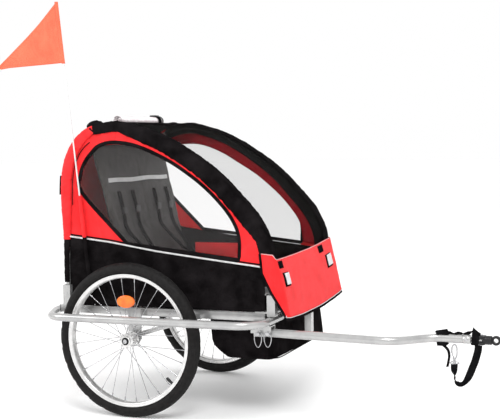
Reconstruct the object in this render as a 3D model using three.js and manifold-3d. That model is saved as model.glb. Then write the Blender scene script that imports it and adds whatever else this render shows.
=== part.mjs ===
// Two-seat child bicycle trailer: folding cabin on a steel base frame, with two
// spoked wheels, a hinged drawbar and a safety flag.
// Millimetres. X points forward to the hitch, Y to the left, Z up. The drawings below
// are made with X = 0 at the axle and Z = 0 on the ground; the last lines move the
// finished trailer so that its origin is the middle of its box, on the ground.
import * as THREE from "three";
import { mergeVertices } from "three/addons/utils/BufferGeometryUtils.js";
import Module from "manifold-3d";

const wasm = await Module();
wasm.setup();

// ---- Driving dimensions -------------------------------------------------------

const GAP = 0.5; // left between pieces that touch

// Wheels
const TYRE_RADIUS = 245;
const TYRE_HALF_WIDTH = 20;
const RIM_RADIUS = 210;
const RIM_HALF_WIDTH = 16;
const RIM_DEPTH = 14;
const HALF_TRACK = 351;
const WHEEL_SEGMENTS = 36;
const SPOKE_COUNT = 28;
const SPOKE_RADIUS = 1.2;
const HUB_HALF_LENGTH = 27;
const HUB_FLANGE_RADIUS = 24;
const AXLE_RADIUS = 6;
const BUTTON_RADIUS = 7;
const BUTTON_TRAVEL = 4;

// Base frame
const RAIL_BOTTOM = 313;
const RAIL_TOP = 339;
const RAIL_OUTER = 290;
const RAIL_WIDTH = 20;
const RAIL_REAR = -285;
const RAIL_FRONT = 436;
const CROSS_RADIUS = 11;
const CROSS_Z = 326;
const REAR_CROSS_X = -275;
const AXLE_CROSS_X = 0;
const FRONT_CROSS_X = 424;
const BUMPER_RADIUS = 12.5;
const BUMPER_Z = 317;
const BUMPER_Y = 410;
const BUMPER_REAR_X = -313;
const BUMPER_FRONT_X = 455;
const BUMPER_END_Y = 205;

// Side hoops, which fold inwards about bolts along X
const HOOP_RADIUS = 8.5;
const HOOP_Y = 286.5;
const HINGE_Z = 375;
const REAR_FOOT_X = -252;
const FRONT_FOOT_X = 460;
const BOLT_RADIUS = 4;
const BOLT_HEAD_RADIUS = 6.5;
const BRACKET_HALF_LENGTH = 13;
const BRACKET_WALL = 3;
const BRACKET_TOP = 405;
const FRONT_BRACKET_TOP = 396;

// Fabric
const PANEL_OUTER = 299;
const PANEL_INNER = 296;
const BAND_INNER_Y = 266;
const ROOF_HALF_WIDTH = 264;
const ROOF_SAG = 13;
const PANEL_FOOT = 378;
const SKIRT_TOP = 372;
const FLOOR_TOP = 311;
const BAG_REAR = 232;
const BAG_FRONT = 458;
const BAG_HALF_WIDTH = 250;
const BAG_BOTTOM = 186;
const BAG_WALL = 4;

// Drawbar and hitch
const BAR_RADIUS = 13;
const BAR_Y = 292;
const BAR_PIVOT_X = 425;
const BAR_PIVOT_Z = 281;
const LOCK_PIN_X = 453;
const PIN_RADIUS = 4.5;
const PIN_HEAD_RADIUS = 7.5;
const PIN_HOLE_RADIUS = 4.9;
const HINGE_PIN_HEAD = 18; // longer, so that the two rings pass each other
const LOCK_PIN_HEAD = 9;
const HITCH_Y = 217;
const HITCH_Z = 278;
const YAW_X = 1078;
const EYE_X = 1121;

// Flag
const FLAG_SLEEVE_BOTTOM = { x: -155, z: 344 };
const FLAG_SLEEVE_TOP_Z = 697;
const FLAG_POLE_TOP = { x: -258, z: 1322 };
const FLAG_Y = 306;
const POLE_RADIUS = 3;

// ---- Geometry helpers ---------------------------------------------------------

// A closed geometry as a solid that can be joined and cut.
function solid(geometry) {
  const bare = geometry.clone();
  bare.deleteAttribute("normal");
  bare.deleteAttribute("uv");
  const merged = mergeVertices(bare, 1e-3);
  return new wasm.Manifold(
    new wasm.Mesh({
      numProp: 3,
      vertProperties: new Float32Array(merged.attributes.position.array),
      triVerts: new Uint32Array(merged.index.array),
    }),
  );
}

function geometryOf(body) {
  const data = body.getMesh();
  const geometry = new THREE.BufferGeometry();
  geometry.setAttribute("position", new THREE.BufferAttribute(data.vertProperties, 3));
  geometry.setIndex(new THREE.BufferAttribute(data.triVerts, 1));
  return geometry;
}

function join(...geometries) {
  const whole = geometries.map(solid).reduce((sum, next) => sum.add(next));
  return geometryOf(whole);
}

function cut(geometry, ...tools) {
  const rest = tools.map(solid).reduce((sum, next) => sum.subtract(next), solid(geometry));
  return geometryOf(rest);
}

function box(x0, x1, y0, y1, z0, z1) {
  const geometry = new THREE.BoxGeometry(x1 - x0, y1 - y0, z1 - z0);
  return geometry.translate((x0 + x1) / 2, (y0 + y1) / 2, (z0 + z1) / 2);
}

// A cylinder from one point to another.
function rod(from, to, radius, sides = 12) {
  const axis = to.clone().sub(from);
  const geometry = new THREE.CylinderGeometry(radius, radius, axis.length(), sides);
  const turn = new THREE.Quaternion().setFromUnitVectors(
    new THREE.Vector3(0, 1, 0),
    axis.clone().normalize(),
  );
  const middle = from.clone().add(to).multiplyScalar(0.5);
  return geometry.applyQuaternion(turn).translate(middle.x, middle.y, middle.z);
}

function at(x, y, z) {
  return new THREE.Vector3(x, y, z);
}

// A drill through everything beside the drawbar, along Y.
function drawbarDrill(x, z, radius) {
  return rod(at(x, -BAR_Y - 40, z), at(x, -BAR_Y + 40, z), radius, 16);
}

// A drill along X through a hoop's foot and its bracket.
function hingeDrill(x) {
  return rod(at(x - 20, -HOOP_Y, HINGE_Z), at(x + 20, -HOOP_Y, HINGE_Z), BOLT_RADIUS + 0.3, 16);
}

// A round tube along a curve, closed at both ends.
function tube(curve, radius, steps, sides = 8) {
  return new THREE.ExtrudeGeometry(ringShape(radius, sides), {
    steps,
    extrudePath: curve,
    bevelEnabled: false,
  });
}

function ringShape(radius, sides) {
  const points = [];
  for (let i = 0; i < sides; i++) {
    const angle = (2 * Math.PI * i) / sides;
    points.push(new THREE.Vector2(radius * Math.cos(angle), radius * Math.sin(angle)));
  }
  return new THREE.Shape(points);
}

// Straight runs joined by round corners, one length of bend for each corner.
function roundedPath(points, bends) {
  const path = new THREE.CurvePath();
  let start = points[0];
  for (let i = 1; i < points.length - 1; i++) {
    const corner = points[i];
    const bend = bends[i - 1];
    const before = corner.clone().sub(points[i - 1]).normalize().multiplyScalar(bend);
    const after = points[i + 1].clone().sub(corner).normalize().multiplyScalar(bend);
    const into = corner.clone().sub(before);
    const out = corner.clone().add(after);
    path.add(new THREE.LineCurve3(start, into));
    path.add(new THREE.QuadraticBezierCurve3(into, corner, out));
    start = out;
  }
  path.add(new THREE.LineCurve3(start, points[points.length - 1]));
  return path;
}

// A plate whose outline is drawn in X and Z, between two values of Y.
function slab(outline, y0, y1, holes = []) {
  const shape = new THREE.Shape(outline.map(([x, z]) => new THREE.Vector2(x, z)));
  shape.holes = holes;
  const geometry = new THREE.ExtrudeGeometry(shape, { depth: y1 - y0, bevelEnabled: false });
  return geometry.rotateX(Math.PI / 2).translate(0, y1, 0);
}

function roundHole(x, z, radius) {
  return new THREE.Path().absarc(x, z, radius, 0, 2 * Math.PI, true);
}

// A ring about the Y axis, from its closed profile of [radius, y] pairs.
function ring(profile, segments) {
  const points = profile.map(([radius, y]) => new THREE.Vector2(radius, y));
  points.push(points[0].clone());
  return new THREE.LatheGeometry(points, segments);
}

const group = new THREE.Group();

function add(name, geometry, finish) {
  const mesh = new THREE.Mesh(geometry, new THREE.MeshStandardMaterial(finish));
  mesh.name = name;
  group.add(mesh);
  return mesh;
}

// Builds a piece on the right side and its mirror image on the left.
function addPair(name, makeRight, finish) {
  add(name + "_right", makeRight(), finish);
  const mirrored = geometryOf(solid(makeRight()).scale([1, -1, 1]));
  add(name + "_left", mirrored, finish);
}

// ---- Finishes -----------------------------------------------------------------

const GREY_STEEL = { color: 0xb4b6b8, roughness: 0.38, metalness: 0.7 };
const BRIGHT_STEEL = { color: 0xd0d2d4, roughness: 0.22, metalness: 1 };
const RIM_ALLOY = { color: 0xd8d8da, roughness: 0.25, metalness: 1 };
const TYRE_RUBBER = { color: 0x1c1c1e, roughness: 0.85, metalness: 0 };
const BLACK_PLASTIC = { color: 0x17171a, roughness: 0.5, metalness: 0 };
const AMBER = { color: 0xff8a1c, roughness: 0.2, metalness: 0 };
const BLACK_FABRIC = { color: 0x1b1a1c, roughness: 0.85, metalness: 0 };
const RED_FABRIC = { color: 0xf2393c, roughness: 0.8, metalness: 0 };
const GREY_MESH = { color: 0xb9b6b0, roughness: 0.9, metalness: 0 };
const SEAT_FABRIC = { color: 0x45423f, roughness: 0.9, metalness: 0 };
const CLEAR_FILM = { color: 0xe9dfe0, roughness: 0.15, metalness: 0 };
const ORANGE_FLAG = { color: 0xff7a50, roughness: 0.7, metalness: 0 };
const WHITE_ROD = { color: 0xf0f0f0, roughness: 0.4, metalness: 0 };
const WEBBING = { color: 0x141416, roughness: 0.9, metalness: 0 };

// ---- Side hoop profile --------------------------------------------------------

// The middle line of a side hoop, in X and Z: up the rear post, over the roof and down
// the long front arc.
const HOOP_LINE = new THREE.SplineCurve(
  [
    [REAR_FOOT_X, 366],
    [REAR_FOOT_X, 450],
    [-250, 580],
    [-254, 700],
    [-243, 795],
    [-206, 866],
    [-146, 908],
    [-70, 922],
    [-14, 912],
    [83, 880],
    [177, 829],
    [270, 764],
    [345, 691],
    [404, 623],
    [440, 550],
    [450, 480],
    [458, 425],
    [FRONT_FOOT_X, 400],
    [FRONT_FOOT_X, 366],
  ].map(([x, z]) => new THREE.Vector2(x, z)),
);

// Points along the hoop between two shares of its length, moved outwards by an offset.
function hoopEdge(from, to, offset, steps) {
  const points = [];
  for (let i = 0; i <= steps; i++) {
    const share = from + ((to - from) * i) / steps;
    const place = HOOP_LINE.getPointAt(share);
    const along = HOOP_LINE.getTangentAt(share);
    points.push([place.x - along.y * offset, place.y + along.x * offset]);
  }
  return points;
}

// A strip that follows the hoop, between two offsets from its middle line.
function hoopStrip(from, to, inner, outer, steps) {
  return [...hoopEdge(from, to, outer, steps), ...hoopEdge(from, to, inner, steps).reverse()];
}

// Shares of the hoop's length at which the fabrics change.
const BAND_FROM = 0.045;
const ROOF_FROM = 0.345;
const SCREEN_FROM = 0.46;
const SCREEN_TO = 0.9;
const BAND_TO = 0.9;

// ---- Wheels -------------------------------------------------------------------

function tyre() {
  const inner = RIM_RADIUS + GAP;
  const profile = [
    [inner, -12],
    [226, -TYRE_HALF_WIDTH],
    [238, -14.5],
    [TYRE_RADIUS, -4],
    [TYRE_RADIUS, 4],
    [238, 14.5],
    [226, TYRE_HALF_WIDTH],
    [inner, 12],
  ];
  return ring(profile, WHEEL_SEGMENTS);
}

function rim() {
  const floor = RIM_RADIUS - RIM_DEPTH;
  const profile = [
    [floor, -5],
    [RIM_RADIUS - 8, -RIM_HALF_WIDTH + 2],
    [RIM_RADIUS - 3, -RIM_HALF_WIDTH],
    [RIM_RADIUS, -RIM_HALF_WIDTH + 1],
    [RIM_RADIUS, RIM_HALF_WIDTH - 1],
    [RIM_RADIUS - 3, RIM_HALF_WIDTH],
    [RIM_RADIUS - 8, RIM_HALF_WIDTH - 2],
    [floor, 5],
  ];
  const valve = rod(at(0, 0, -floor - 2), at(0, 0, -floor + 30), 3.2, 8);
  valve.rotateY(-0.85);
  return join(ring(profile, WHEEL_SEGMENTS), valve);
}

// The hub shell with its two flanges, the axle that plugs into the frame and the
// spokes, which alternate between the flanges. Y points away from the trailer.
function hubAndSpokes() {
  const shell = ring(
    [
      [BUTTON_RADIUS + GAP, -HUB_HALF_LENGTH],
      [15, -HUB_HALF_LENGTH],
      [15, -21],
      [HUB_FLANGE_RADIUS, -20],
      [HUB_FLANGE_RADIUS, -17],
      [12, -15],
      [12, 15],
      [HUB_FLANGE_RADIUS, 17],
      [HUB_FLANGE_RADIUS, 20],
      [15, 21],
      [15, HUB_HALF_LENGTH - 2],
      [AXLE_RADIUS, HUB_HALF_LENGTH],
      [AXLE_RADIUS, 12],
      [BUTTON_RADIUS + GAP, 12],
    ],
    12,
  );
  const axle = rod(at(0, 8, 0), at(0, 48, 0), AXLE_RADIUS + 0.01, 12);
  const core = rod(at(0, 8, 0), at(0, 14, 0), 10, 12);
  const spokes = [];
  for (let i = 0; i < SPOKE_COUNT; i++) {
    const side = i % 2 === 0 ? 1 : -1;
    const lean = (i % 4 < 2 ? 1 : -1) * 0.5;
    const rimAngle = (2 * Math.PI * (i + 0.5)) / SPOKE_COUNT;
    const hubAngle = rimAngle + lean;
    const hubRadius = HUB_FLANGE_RADIUS - 3;
    const rimRadius = RIM_RADIUS - RIM_DEPTH - 1;
    const inner = at(hubRadius * Math.cos(hubAngle), side * 18.5, hubRadius * Math.sin(hubAngle));
    const outer = at(rimRadius * Math.cos(rimAngle), side * 2, rimRadius * Math.sin(rimAngle));
    spokes.push(rod(inner, outer, SPOKE_RADIUS, 3));
  }
  return join(shell, core, axle, ...spokes);
}

// An oval wheel reflector that clips on outside the spokes.
function reflector() {
  const lens = new THREE.Shape().absellipse(0, 0, 31, 20, 0, 2 * Math.PI, false);
  const geometry = new THREE.ExtrudeGeometry(lens, {
    depth: 7,
    bevelEnabled: false,
    curveSegments: 16,
  });
  return geometry.rotateX(Math.PI / 2).translate(0, -15, 124);
}

function releaseButton() {
  return rod(at(0, -HUB_HALF_LENGTH - BUTTON_TRAVEL, 0), at(0, -5, 0), BUTTON_RADIUS, 16);
}

function placeWheel(geometry, side) {
  const placed = side < 0 ? geometry : geometryOf(solid(geometry).scale([1, -1, 1]));
  return placed.translate(0, side * HALF_TRACK, TYRE_RADIUS);
}

for (const [side, name] of [
  [-1, "right"],
  [1, "left"],
]) {
  add("tyre_" + name, placeWheel(tyre(), side), TYRE_RUBBER);
  add("rim_" + name, placeWheel(rim(), side), RIM_ALLOY);
  add("hub_and_spokes_" + name, placeWheel(hubAndSpokes(), side), BRIGHT_STEEL);
  add("reflector_" + name, placeWheel(reflector(), side), AMBER);
  add("release_button_" + name, placeWheel(releaseButton(), side), BLACK_PLASTIC);
}

// ---- Base frame ---------------------------------------------------------------

function crossTube(x) {
  const reach = RAIL_OUTER - RAIL_WIDTH - GAP;
  return rod(at(x, -reach, CROSS_Z), at(x, reach, CROSS_Z), CROSS_RADIUS, 14);
}

function bumper() {
  const path = roundedPath(
    [
      at(BUMPER_REAR_X, -BUMPER_END_Y, BUMPER_Z),
      at(BUMPER_REAR_X + 10, -285, BUMPER_Z),
      at(BUMPER_REAR_X + 63, -BUMPER_Y, BUMPER_Z),
      at(BUMPER_FRONT_X, -BUMPER_Y, BUMPER_Z),
      at(BUMPER_FRONT_X, -BUMPER_END_Y, BUMPER_Z),
    ],
    [40, 60, 85],
  );
  return tube(path, BUMPER_RADIUS, 40);
}

// A hoop bracket: a channel standing on the rail, open to the inside, with a foot.
// The foot reaches from the channel towards the middle of the trailer.
function hoopBracket(x, bottom, top, footStart, footEnd) {
  const back = -RAIL_OUTER - 13;
  const front = -RAIL_OUTER + 13;
  const half = BRACKET_HALF_LENGTH;
  const channel = cut(
    box(x - half, x + half, back, front, bottom, top),
    box(x - half + BRACKET_WALL, x + half - BRACKET_WALL, back + BRACKET_WALL, 0, bottom + 6, 500),
    hingeDrill(x),
  );
  const foot = box(footStart, footEnd, back, front, RAIL_TOP + GAP, RAIL_TOP + 6);
  return join(channel, foot);
}

function hingeBolt(x) {
  const half = BRACKET_HALF_LENGTH + GAP;
  const end = half + 4;
  return join(
    rod(at(x - end, -HOOP_Y, HINGE_Z), at(x + end, -HOOP_Y, HINGE_Z), BOLT_RADIUS, 16),
    rod(at(x - end, -HOOP_Y, HINGE_Z), at(x - half, -HOOP_Y, HINGE_Z), BOLT_HEAD_RADIUS, 6),
    rod(at(x + half, -HOOP_Y, HINGE_Z), at(x + end, -HOOP_Y, HINGE_Z), BOLT_HEAD_RADIUS, 6),
  );
}

// A plate that hangs from the rail and carries the wheel's axle, with a slim stay
// that runs forward up to the rail.
function hubBracket() {
  const outer = -312;
  const inner = -308;
  const plate = slab(
    [
      [-23, RAIL_TOP],
      [-23, 244],
      [-12, 226],
      [12, 226],
      [23, 244],
      [23, 252],
      [228, 316],
      [228, 328],
      [23, 268],
      [23, RAIL_TOP],
    ],
    outer,
    inner,
    [roundHole(0, TYRE_RADIUS, AXLE_RADIUS + 0.5)],
  );
  const seat = -RAIL_OUTER - GAP;
  return join(
    plate,
    box(-23, 23, inner - 1, seat, 316, 336),
    box(206, 228, inner - 1, seat, 315, 327),
  );
}

function drawbarReceiver() {
  const rear = 396;
  const front = 462;
  const bottom = 270;
  const top = 303.5;
  const step = 438;
  const half = 19;
  const outline = [
    [rear, bottom],
    [front, bottom],
    [front, top],
    [step, top],
    [step, RAIL_BOTTOM - GAP],
    [rear, RAIL_BOTTOM - GAP],
  ];
  const block = slab(outline, -BAR_Y - half, -BAR_Y + half);
  const slotHalf = BAR_RADIUS + 3;
  const slotTop = top - 3;
  const barSlot = box(380, 480, -BAR_Y - slotHalf, -BAR_Y + slotHalf, bottom - 20, slotTop);
  // The lock pin comes to rest behind the hinge pin when the drawbar is folded away.
  const stowedMouth = box(
    rear - 5,
    rear + 10,
    -BAR_Y - 40,
    -BAR_Y + 40,
    bottom - 10,
    BAR_PIVOT_Z - 1,
  );
  const lockMouth = box(
    LOCK_PIN_X - PIN_HEAD_RADIUS,
    LOCK_PIN_X + PIN_HOLE_RADIUS,
    -BAR_Y - 40,
    -BAR_Y + 40,
    bottom - 10,
    BAR_PIVOT_Z,
  );
  return cut(
    block,
    barSlot,
    drawbarDrill(BAR_PIVOT_X, BAR_PIVOT_Z, PIN_HOLE_RADIUS),
    drawbarDrill(LOCK_PIN_X, BAR_PIVOT_Z, PIN_HOLE_RADIUS),
    stowedMouth,
    lockMouth,
  );
}

// The upright socket for a stroller front wheel, on an arm from the front cross tube.
function frontWheelSocket() {
  const x = 500;
  const y = -60;
  const reach = FRONT_CROSS_X + CROSS_RADIUS + GAP;
  const post = cut(
    box(x - 11, x + 11, y - 12, y + 12, 248, 336),
    box(x - 8, x + 8, y - 9, y + 9, 230, 318),
  );
  return join(post, box(reach, x - 10, y - 9, y + 9, 321, 333));
}

function sideRail() {
  const inner = -RAIL_OUTER + RAIL_WIDTH;
  return box(RAIL_REAR, RAIL_FRONT, -RAIL_OUTER, inner, RAIL_BOTTOM, RAIL_TOP);
}

addPair("side_rail", sideRail, GREY_STEEL);
add("rear_cross_tube", crossTube(REAR_CROSS_X), GREY_STEEL);
add("axle_cross_tube", crossTube(AXLE_CROSS_X), GREY_STEEL);
add("front_cross_tube", crossTube(FRONT_CROSS_X), GREY_STEEL);
addPair("bumper", bumper, GREY_STEEL);
addPair("front_bracket", () => hoopBracket(FRONT_FOOT_X, 331, FRONT_BRACKET_TOP, 408, 448), GREY_STEEL);
addPair("rear_bracket", () => hoopBracket(REAR_FOOT_X, RAIL_TOP + GAP, BRACKET_TOP, -240, -214), GREY_STEEL);
addPair("hinge_bolt_front", () => hingeBolt(FRONT_FOOT_X), BRIGHT_STEEL);
addPair("hinge_bolt_rear", () => hingeBolt(REAR_FOOT_X), BRIGHT_STEEL);
addPair("hub_bracket", hubBracket, GREY_STEEL);
add("drawbar_receiver", drawbarReceiver(), GREY_STEEL);
add("front_wheel_socket", frontWheelSocket(), GREY_STEEL);

// ---- Folding side frames ------------------------------------------------------

function sideHoop() {
  const line = HOOP_LINE.getSpacedPoints(44);
  const path = new THREE.CatmullRomCurve3(line.map((p) => at(p.x, -HOOP_Y, p.y)));
  return cut(tube(path, HOOP_RADIUS, 44), hingeDrill(REAR_FOOT_X), hingeDrill(FRONT_FOOT_X));
}

// The fabric side: the hoop's outline, notched over the brackets.
function sidePanel() {
  const notch = BRACKET_TOP + 3;
  const rearNotch = REAR_FOOT_X + BRACKET_HALF_LENGTH + 6;
  const frontNotch = FRONT_FOOT_X - BRACKET_HALF_LENGTH - 6;
  const outline = [
    [rearNotch, PANEL_FOOT],
    [rearNotch, notch],
    ...hoopEdge(0.027, 0.973, HOOP_RADIUS, 40),
    [frontNotch, notch],
    [frontNotch, PANEL_FOOT],
  ];
  return slab(outline, -PANEL_OUTER, -PANEL_INNER);
}

function roofBand() {
  const strip = hoopStrip(BAND_FROM, BAND_TO, HOOP_RADIUS + 1, HOOP_RADIUS + 5, 44);
  return slab(strip, -PANEL_OUTER, -BAND_INNER_Y);
}

addPair("side_hoop", sideHoop, GREY_STEEL);
addPair("side_panel", sidePanel, RED_FABRIC);
addPair("roof_band", roofBand, BLACK_FABRIC);

// ---- Cabin fabric between the side frames -------------------------------------

function spanning(from, to, steps, sag = 0) {
  const outer = HOOP_RADIUS + 1 - sag;
  const strip = hoopStrip(from, to, outer - 4, outer, steps);
  return slab(strip, -ROOF_HALF_WIDTH, ROOF_HALF_WIDTH);
}

// The back sheet follows the rear posts and carries on down behind the floor.
function rearPanel() {
  const x = REAR_FOOT_X - HOOP_RADIUS - 1;
  const hem = box(x, x + 4, -ROOF_HALF_WIDTH, ROOF_HALF_WIDTH, 316, 370);
  return join(spanning(0.001, ROOF_FROM - 0.004, 18), hem);
}

// The front flap: a leaning front sheet with a wing round each side.
function frontApron() {
  const front = [
    [472, 521],
    [476, 521],
    [519, 331],
    [515, 331],
  ];
  const wing = [
    [420, 522],
    [476, 521],
    [519, 331],
    [506, 337],
    [466, 410],
    [436, 465],
  ];
  const outer = 308;
  const inner = 304.5;
  return join(slab(front, -outer, outer), slab(wing, -outer, -inner), slab(wing, inner, outer));
}

// The floor sheet under the cross tubes, with the footwell bag at its front.
function floorAndFootwell() {
  const bagTop = 314;
  const floorReach = BAG_HALF_WIDTH - BAG_WALL;
  const floor = box(-260, BAG_REAR - 4, -floorReach, floorReach, FLOOR_TOP - 4, FLOOR_TOP);
  const bag = (inset, bottom, top) =>
    slab(
      [
        [BAG_REAR - 8 + inset, top],
        [BAG_REAR + inset, 222],
        [BAG_REAR + 44, bottom],
        [BAG_FRONT - inset, bottom],
        [BAG_FRONT - 18 - inset, top],
      ],
      -BAG_HALF_WIDTH + inset,
      BAG_HALF_WIDTH - inset,
    );
  const shell = cut(bag(0, BAG_BOTTOM, bagTop), bag(BAG_WALL, BAG_BOTTOM + BAG_WALL, bagTop + 20));
  return join(floor, shell);
}

function sideSkirt() {
  const rear = REAR_FOOT_X + BRACKET_HALF_LENGTH + 6;
  const front = FRONT_FOOT_X - BRACKET_HALF_LENGTH - 6;
  return box(rear, front, -PANEL_OUTER, -PANEL_INNER, RAIL_TOP + 8, SKIRT_TOP);
}

function seatBack() {
  return slab(
    [
      [-76, 452],
      [-64, 446],
      [-158, 846],
      [-172, 850],
      [-182, 842],
    ],
    -256,
    256,
  );
}

function seatBase() {
  return slab(
    [
      [-78, 398],
      [188, 402],
      [202, 412],
      [196, 428],
      [-66, 440],
      [-82, 430],
    ],
    -256,
    256,
  );
}

add("floor_and_footwell", floorAndFootwell(), BLACK_FABRIC);
addPair("side_skirt", sideSkirt, BLACK_FABRIC);
add("rear_panel", rearPanel(), BLACK_FABRIC);
add("roof_panel", spanning(ROOF_FROM, SCREEN_FROM - 0.004, 12, ROOF_SAG), BLACK_FABRIC);
add("front_screen", spanning(SCREEN_FROM, SCREEN_TO, 18), GREY_MESH);
add("front_apron", frontApron(), RED_FABRIC);
add("seat_back", seatBack(), SEAT_FABRIC);
add("seat_base", seatBase(), SEAT_FABRIC);

// The spreader bar that holds the two hoops apart, with a plug at each end.
function topBar() {
  const x = -197;
  const z = 838;
  const reach = HOOP_Y - HOOP_RADIUS - 6;
  return rod(at(x, -reach, z), at(x, reach, z), 9, 12);
}

add("top_spreader_bar", topBar(), GREY_STEEL);

// The rolled-up clear rain cover on the roof, and the strap round it.
const ROLL_X = -92;
const ROLL_Z = 937;
const ROLL_RADIUS = 17;

function rainCoverRoll() {
  return rod(at(ROLL_X, -225, ROLL_Z), at(ROLL_X, 78, ROLL_Z), ROLL_RADIUS, 14);
}

function rainCoverStrap() {
  const y = 52;
  const outer = rod(at(ROLL_X, y - 12, ROLL_Z), at(ROLL_X, y + 12, ROLL_Z), ROLL_RADIUS + 3, 14);
  const inner = rod(at(ROLL_X, y - 13, ROLL_Z), at(ROLL_X, y + 13, ROLL_Z), ROLL_RADIUS + 0.6, 14);
  return cut(outer, inner);
}

add("rain_cover_roll", rainCoverRoll(), CLEAR_FILM);
add("rain_cover_strap", rainCoverStrap(), WEBBING);

// ---- Drawbar ------------------------------------------------------------------

// A long tube that swings inwards near its front end, closed by a steel tongue.
function drawbarTube() {
  const path = new THREE.CurvePath();
  const rear = at(BAR_PIVOT_X - 11, -BAR_Y, BAR_PIVOT_Z);
  const bendStart = at(790, -BAR_Y - 4, 275);
  const bendEnd = at(960, -HITCH_Y - 1, HITCH_Z);
  const front = at(1048, -HITCH_Y, HITCH_Z);
  path.add(new THREE.LineCurve3(rear, bendStart));
  path.add(
    new THREE.CubicBezierCurve3(
      bendStart,
      at(868, -BAR_Y - 5, 273.6),
      at(892, -HITCH_Y - 2, HITCH_Z - 2),
      bendEnd,
    ),
  );
  path.add(new THREE.LineCurve3(bendEnd, front));
  const tongue = join(
    box(1040, YAW_X, -HITCH_Y - 9, -HITCH_Y + 9, HITCH_Z - 4, HITCH_Z + 4),
    rod(at(YAW_X, -HITCH_Y, HITCH_Z - 4), at(YAW_X, -HITCH_Y, HITCH_Z + 4), 9, 16),
  );
  const tongueHole = rod(at(YAW_X, -HITCH_Y, 260), at(YAW_X, -HITCH_Y, 300), 3.6, 16);
  return cut(
    join(tube(path, BAR_RADIUS, 34), tongue),
    drawbarDrill(BAR_PIVOT_X, BAR_PIVOT_Z, PIN_HOLE_RADIUS),
    drawbarDrill(LOCK_PIN_X, BAR_PIVOT_Z, PIN_HOLE_RADIUS),
    tongueHole,
  );
}

// A quick pin: shank across the receiver, with a drilled head on the outside.
function quickPin(x, headLength) {
  const outer = -BAR_Y - 19 - GAP;
  const shank = rod(at(x, outer - 3, BAR_PIVOT_Z), at(x, -BAR_Y + 24, BAR_PIVOT_Z), PIN_RADIUS, 14);
  const head = rod(at(x, outer - headLength, BAR_PIVOT_Z), at(x, outer, BAR_PIVOT_Z), PIN_HEAD_RADIUS, 14);
  const ringY = outer - headLength + 4.5;
  const ringZ = BAR_PIVOT_Z - 1;
  return cut(join(shank, head), rod(at(x - 10, ringY, ringZ), at(x + 10, ringY, ringZ), 3.4, 12));
}

// A wire pull ring through the head of a quick pin, hanging flat to the side.
function pullRing(x, headLength) {
  const y = -BAR_Y - 19 - GAP - headLength + 4.5;
  const top = BAR_PIVOT_Z - 1;
  const height = 40;
  const halfWidth = 11;
  const points = [
    at(x, y, top),
    at(x + halfWidth, y, top - 4),
    at(x + halfWidth, y, top - 20),
    at(x + 6, y, top - 34),
    at(x, y, top - height),
    at(x - 6, y, top - 34),
    at(x - halfWidth, y, top - 20),
    at(x - halfWidth, y, top - 4),
  ];
  const loop = new THREE.CatmullRomCurve3(points, true, "catmullrom", 0.6);
  return tube(loop, 1.3, 20, 6);
}

function hitchCoupler() {
  const front = 1104;
  const body = rod(at(YAW_X - 10, -HITCH_Y, HITCH_Z), at(front, -HITCH_Y, HITCH_Z), 13.5, 20);
  const fork = box(1050, 1091, -HITCH_Y - 20, -HITCH_Y + 20, HITCH_Z - 5, HITCH_Z + 5);
  const bore = rod(at(1095, -HITCH_Y, HITCH_Z), at(1110, -HITCH_Y, HITCH_Z), 5.5, 16);
  const pin = rod(at(YAW_X, -HITCH_Y, HITCH_Z - 8), at(YAW_X, -HITCH_Y, HITCH_Z + 8), 3, 12);
  return join(cut(body, fork, bore), pin);
}

function hitchEye() {
  const shank = rod(at(1096, -HITCH_Y, HITCH_Z), at(EYE_X - 8, -HITCH_Y, HITCH_Z), 5, 16);
  const collar = rod(at(1105, -HITCH_Y, HITCH_Z), at(1109, -HITCH_Y, HITCH_Z), 10, 20);
  const eye = rod(at(EYE_X, -HITCH_Y - 7, HITCH_Z), at(EYE_X, -HITCH_Y + 7, HITCH_Z), 14, 24);
  const hole = rod(at(EYE_X, -HITCH_Y - 9, HITCH_Z), at(EYE_X, -HITCH_Y + 9, HITCH_Z), 6.6, 20);
  return cut(join(shank, collar, eye), hole);
}

add("drawbar_tube", drawbarTube(), GREY_STEEL);
add("drawbar_hinge_pin", quickPin(BAR_PIVOT_X, HINGE_PIN_HEAD), BRIGHT_STEEL);
add("drawbar_lock_pin", quickPin(LOCK_PIN_X, LOCK_PIN_HEAD), BRIGHT_STEEL);
add("hinge_pin_pull_ring", pullRing(BAR_PIVOT_X, HINGE_PIN_HEAD), BRIGHT_STEEL);
add("lock_pin_pull_ring", pullRing(LOCK_PIN_X, LOCK_PIN_HEAD), BRIGHT_STEEL);
add("hitch_coupler", hitchCoupler(), BLACK_PLASTIC);
add("hitch_eye", hitchEye(), BLACK_PLASTIC);

// ---- Safety strap -------------------------------------------------------------

// The strap's route, from under the tongue down and back up to the snap hook.
const STRAP_ROUTE = [
  [1070, 262],
  [1069, 248],
  [1065, 232],
  [1060, 214],
  [1053, 196],
  [1046, 178],
  [1038, 161],
  [1028, 148],
  [1015, 143],
  [1004, 150],
  [1000, 165],
  [999, 180],
  [999, 192],
  [1000, 203],
];

function safetyStrap() {
  const path = new THREE.CatmullRomCurve3(
    STRAP_ROUTE.map(([x, z]) => at(x, -HITCH_Y, z)),
    false,
    "centripetal",
  );
  const section = new THREE.Shape([
    new THREE.Vector2(-1.5, -8),
    new THREE.Vector2(1.5, -8),
    new THREE.Vector2(1.5, 8),
    new THREE.Vector2(-1.5, 8),
  ]);
  return new THREE.ExtrudeGeometry(section, { steps: 40, extrudePath: path, bevelEnabled: false });
}

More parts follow.
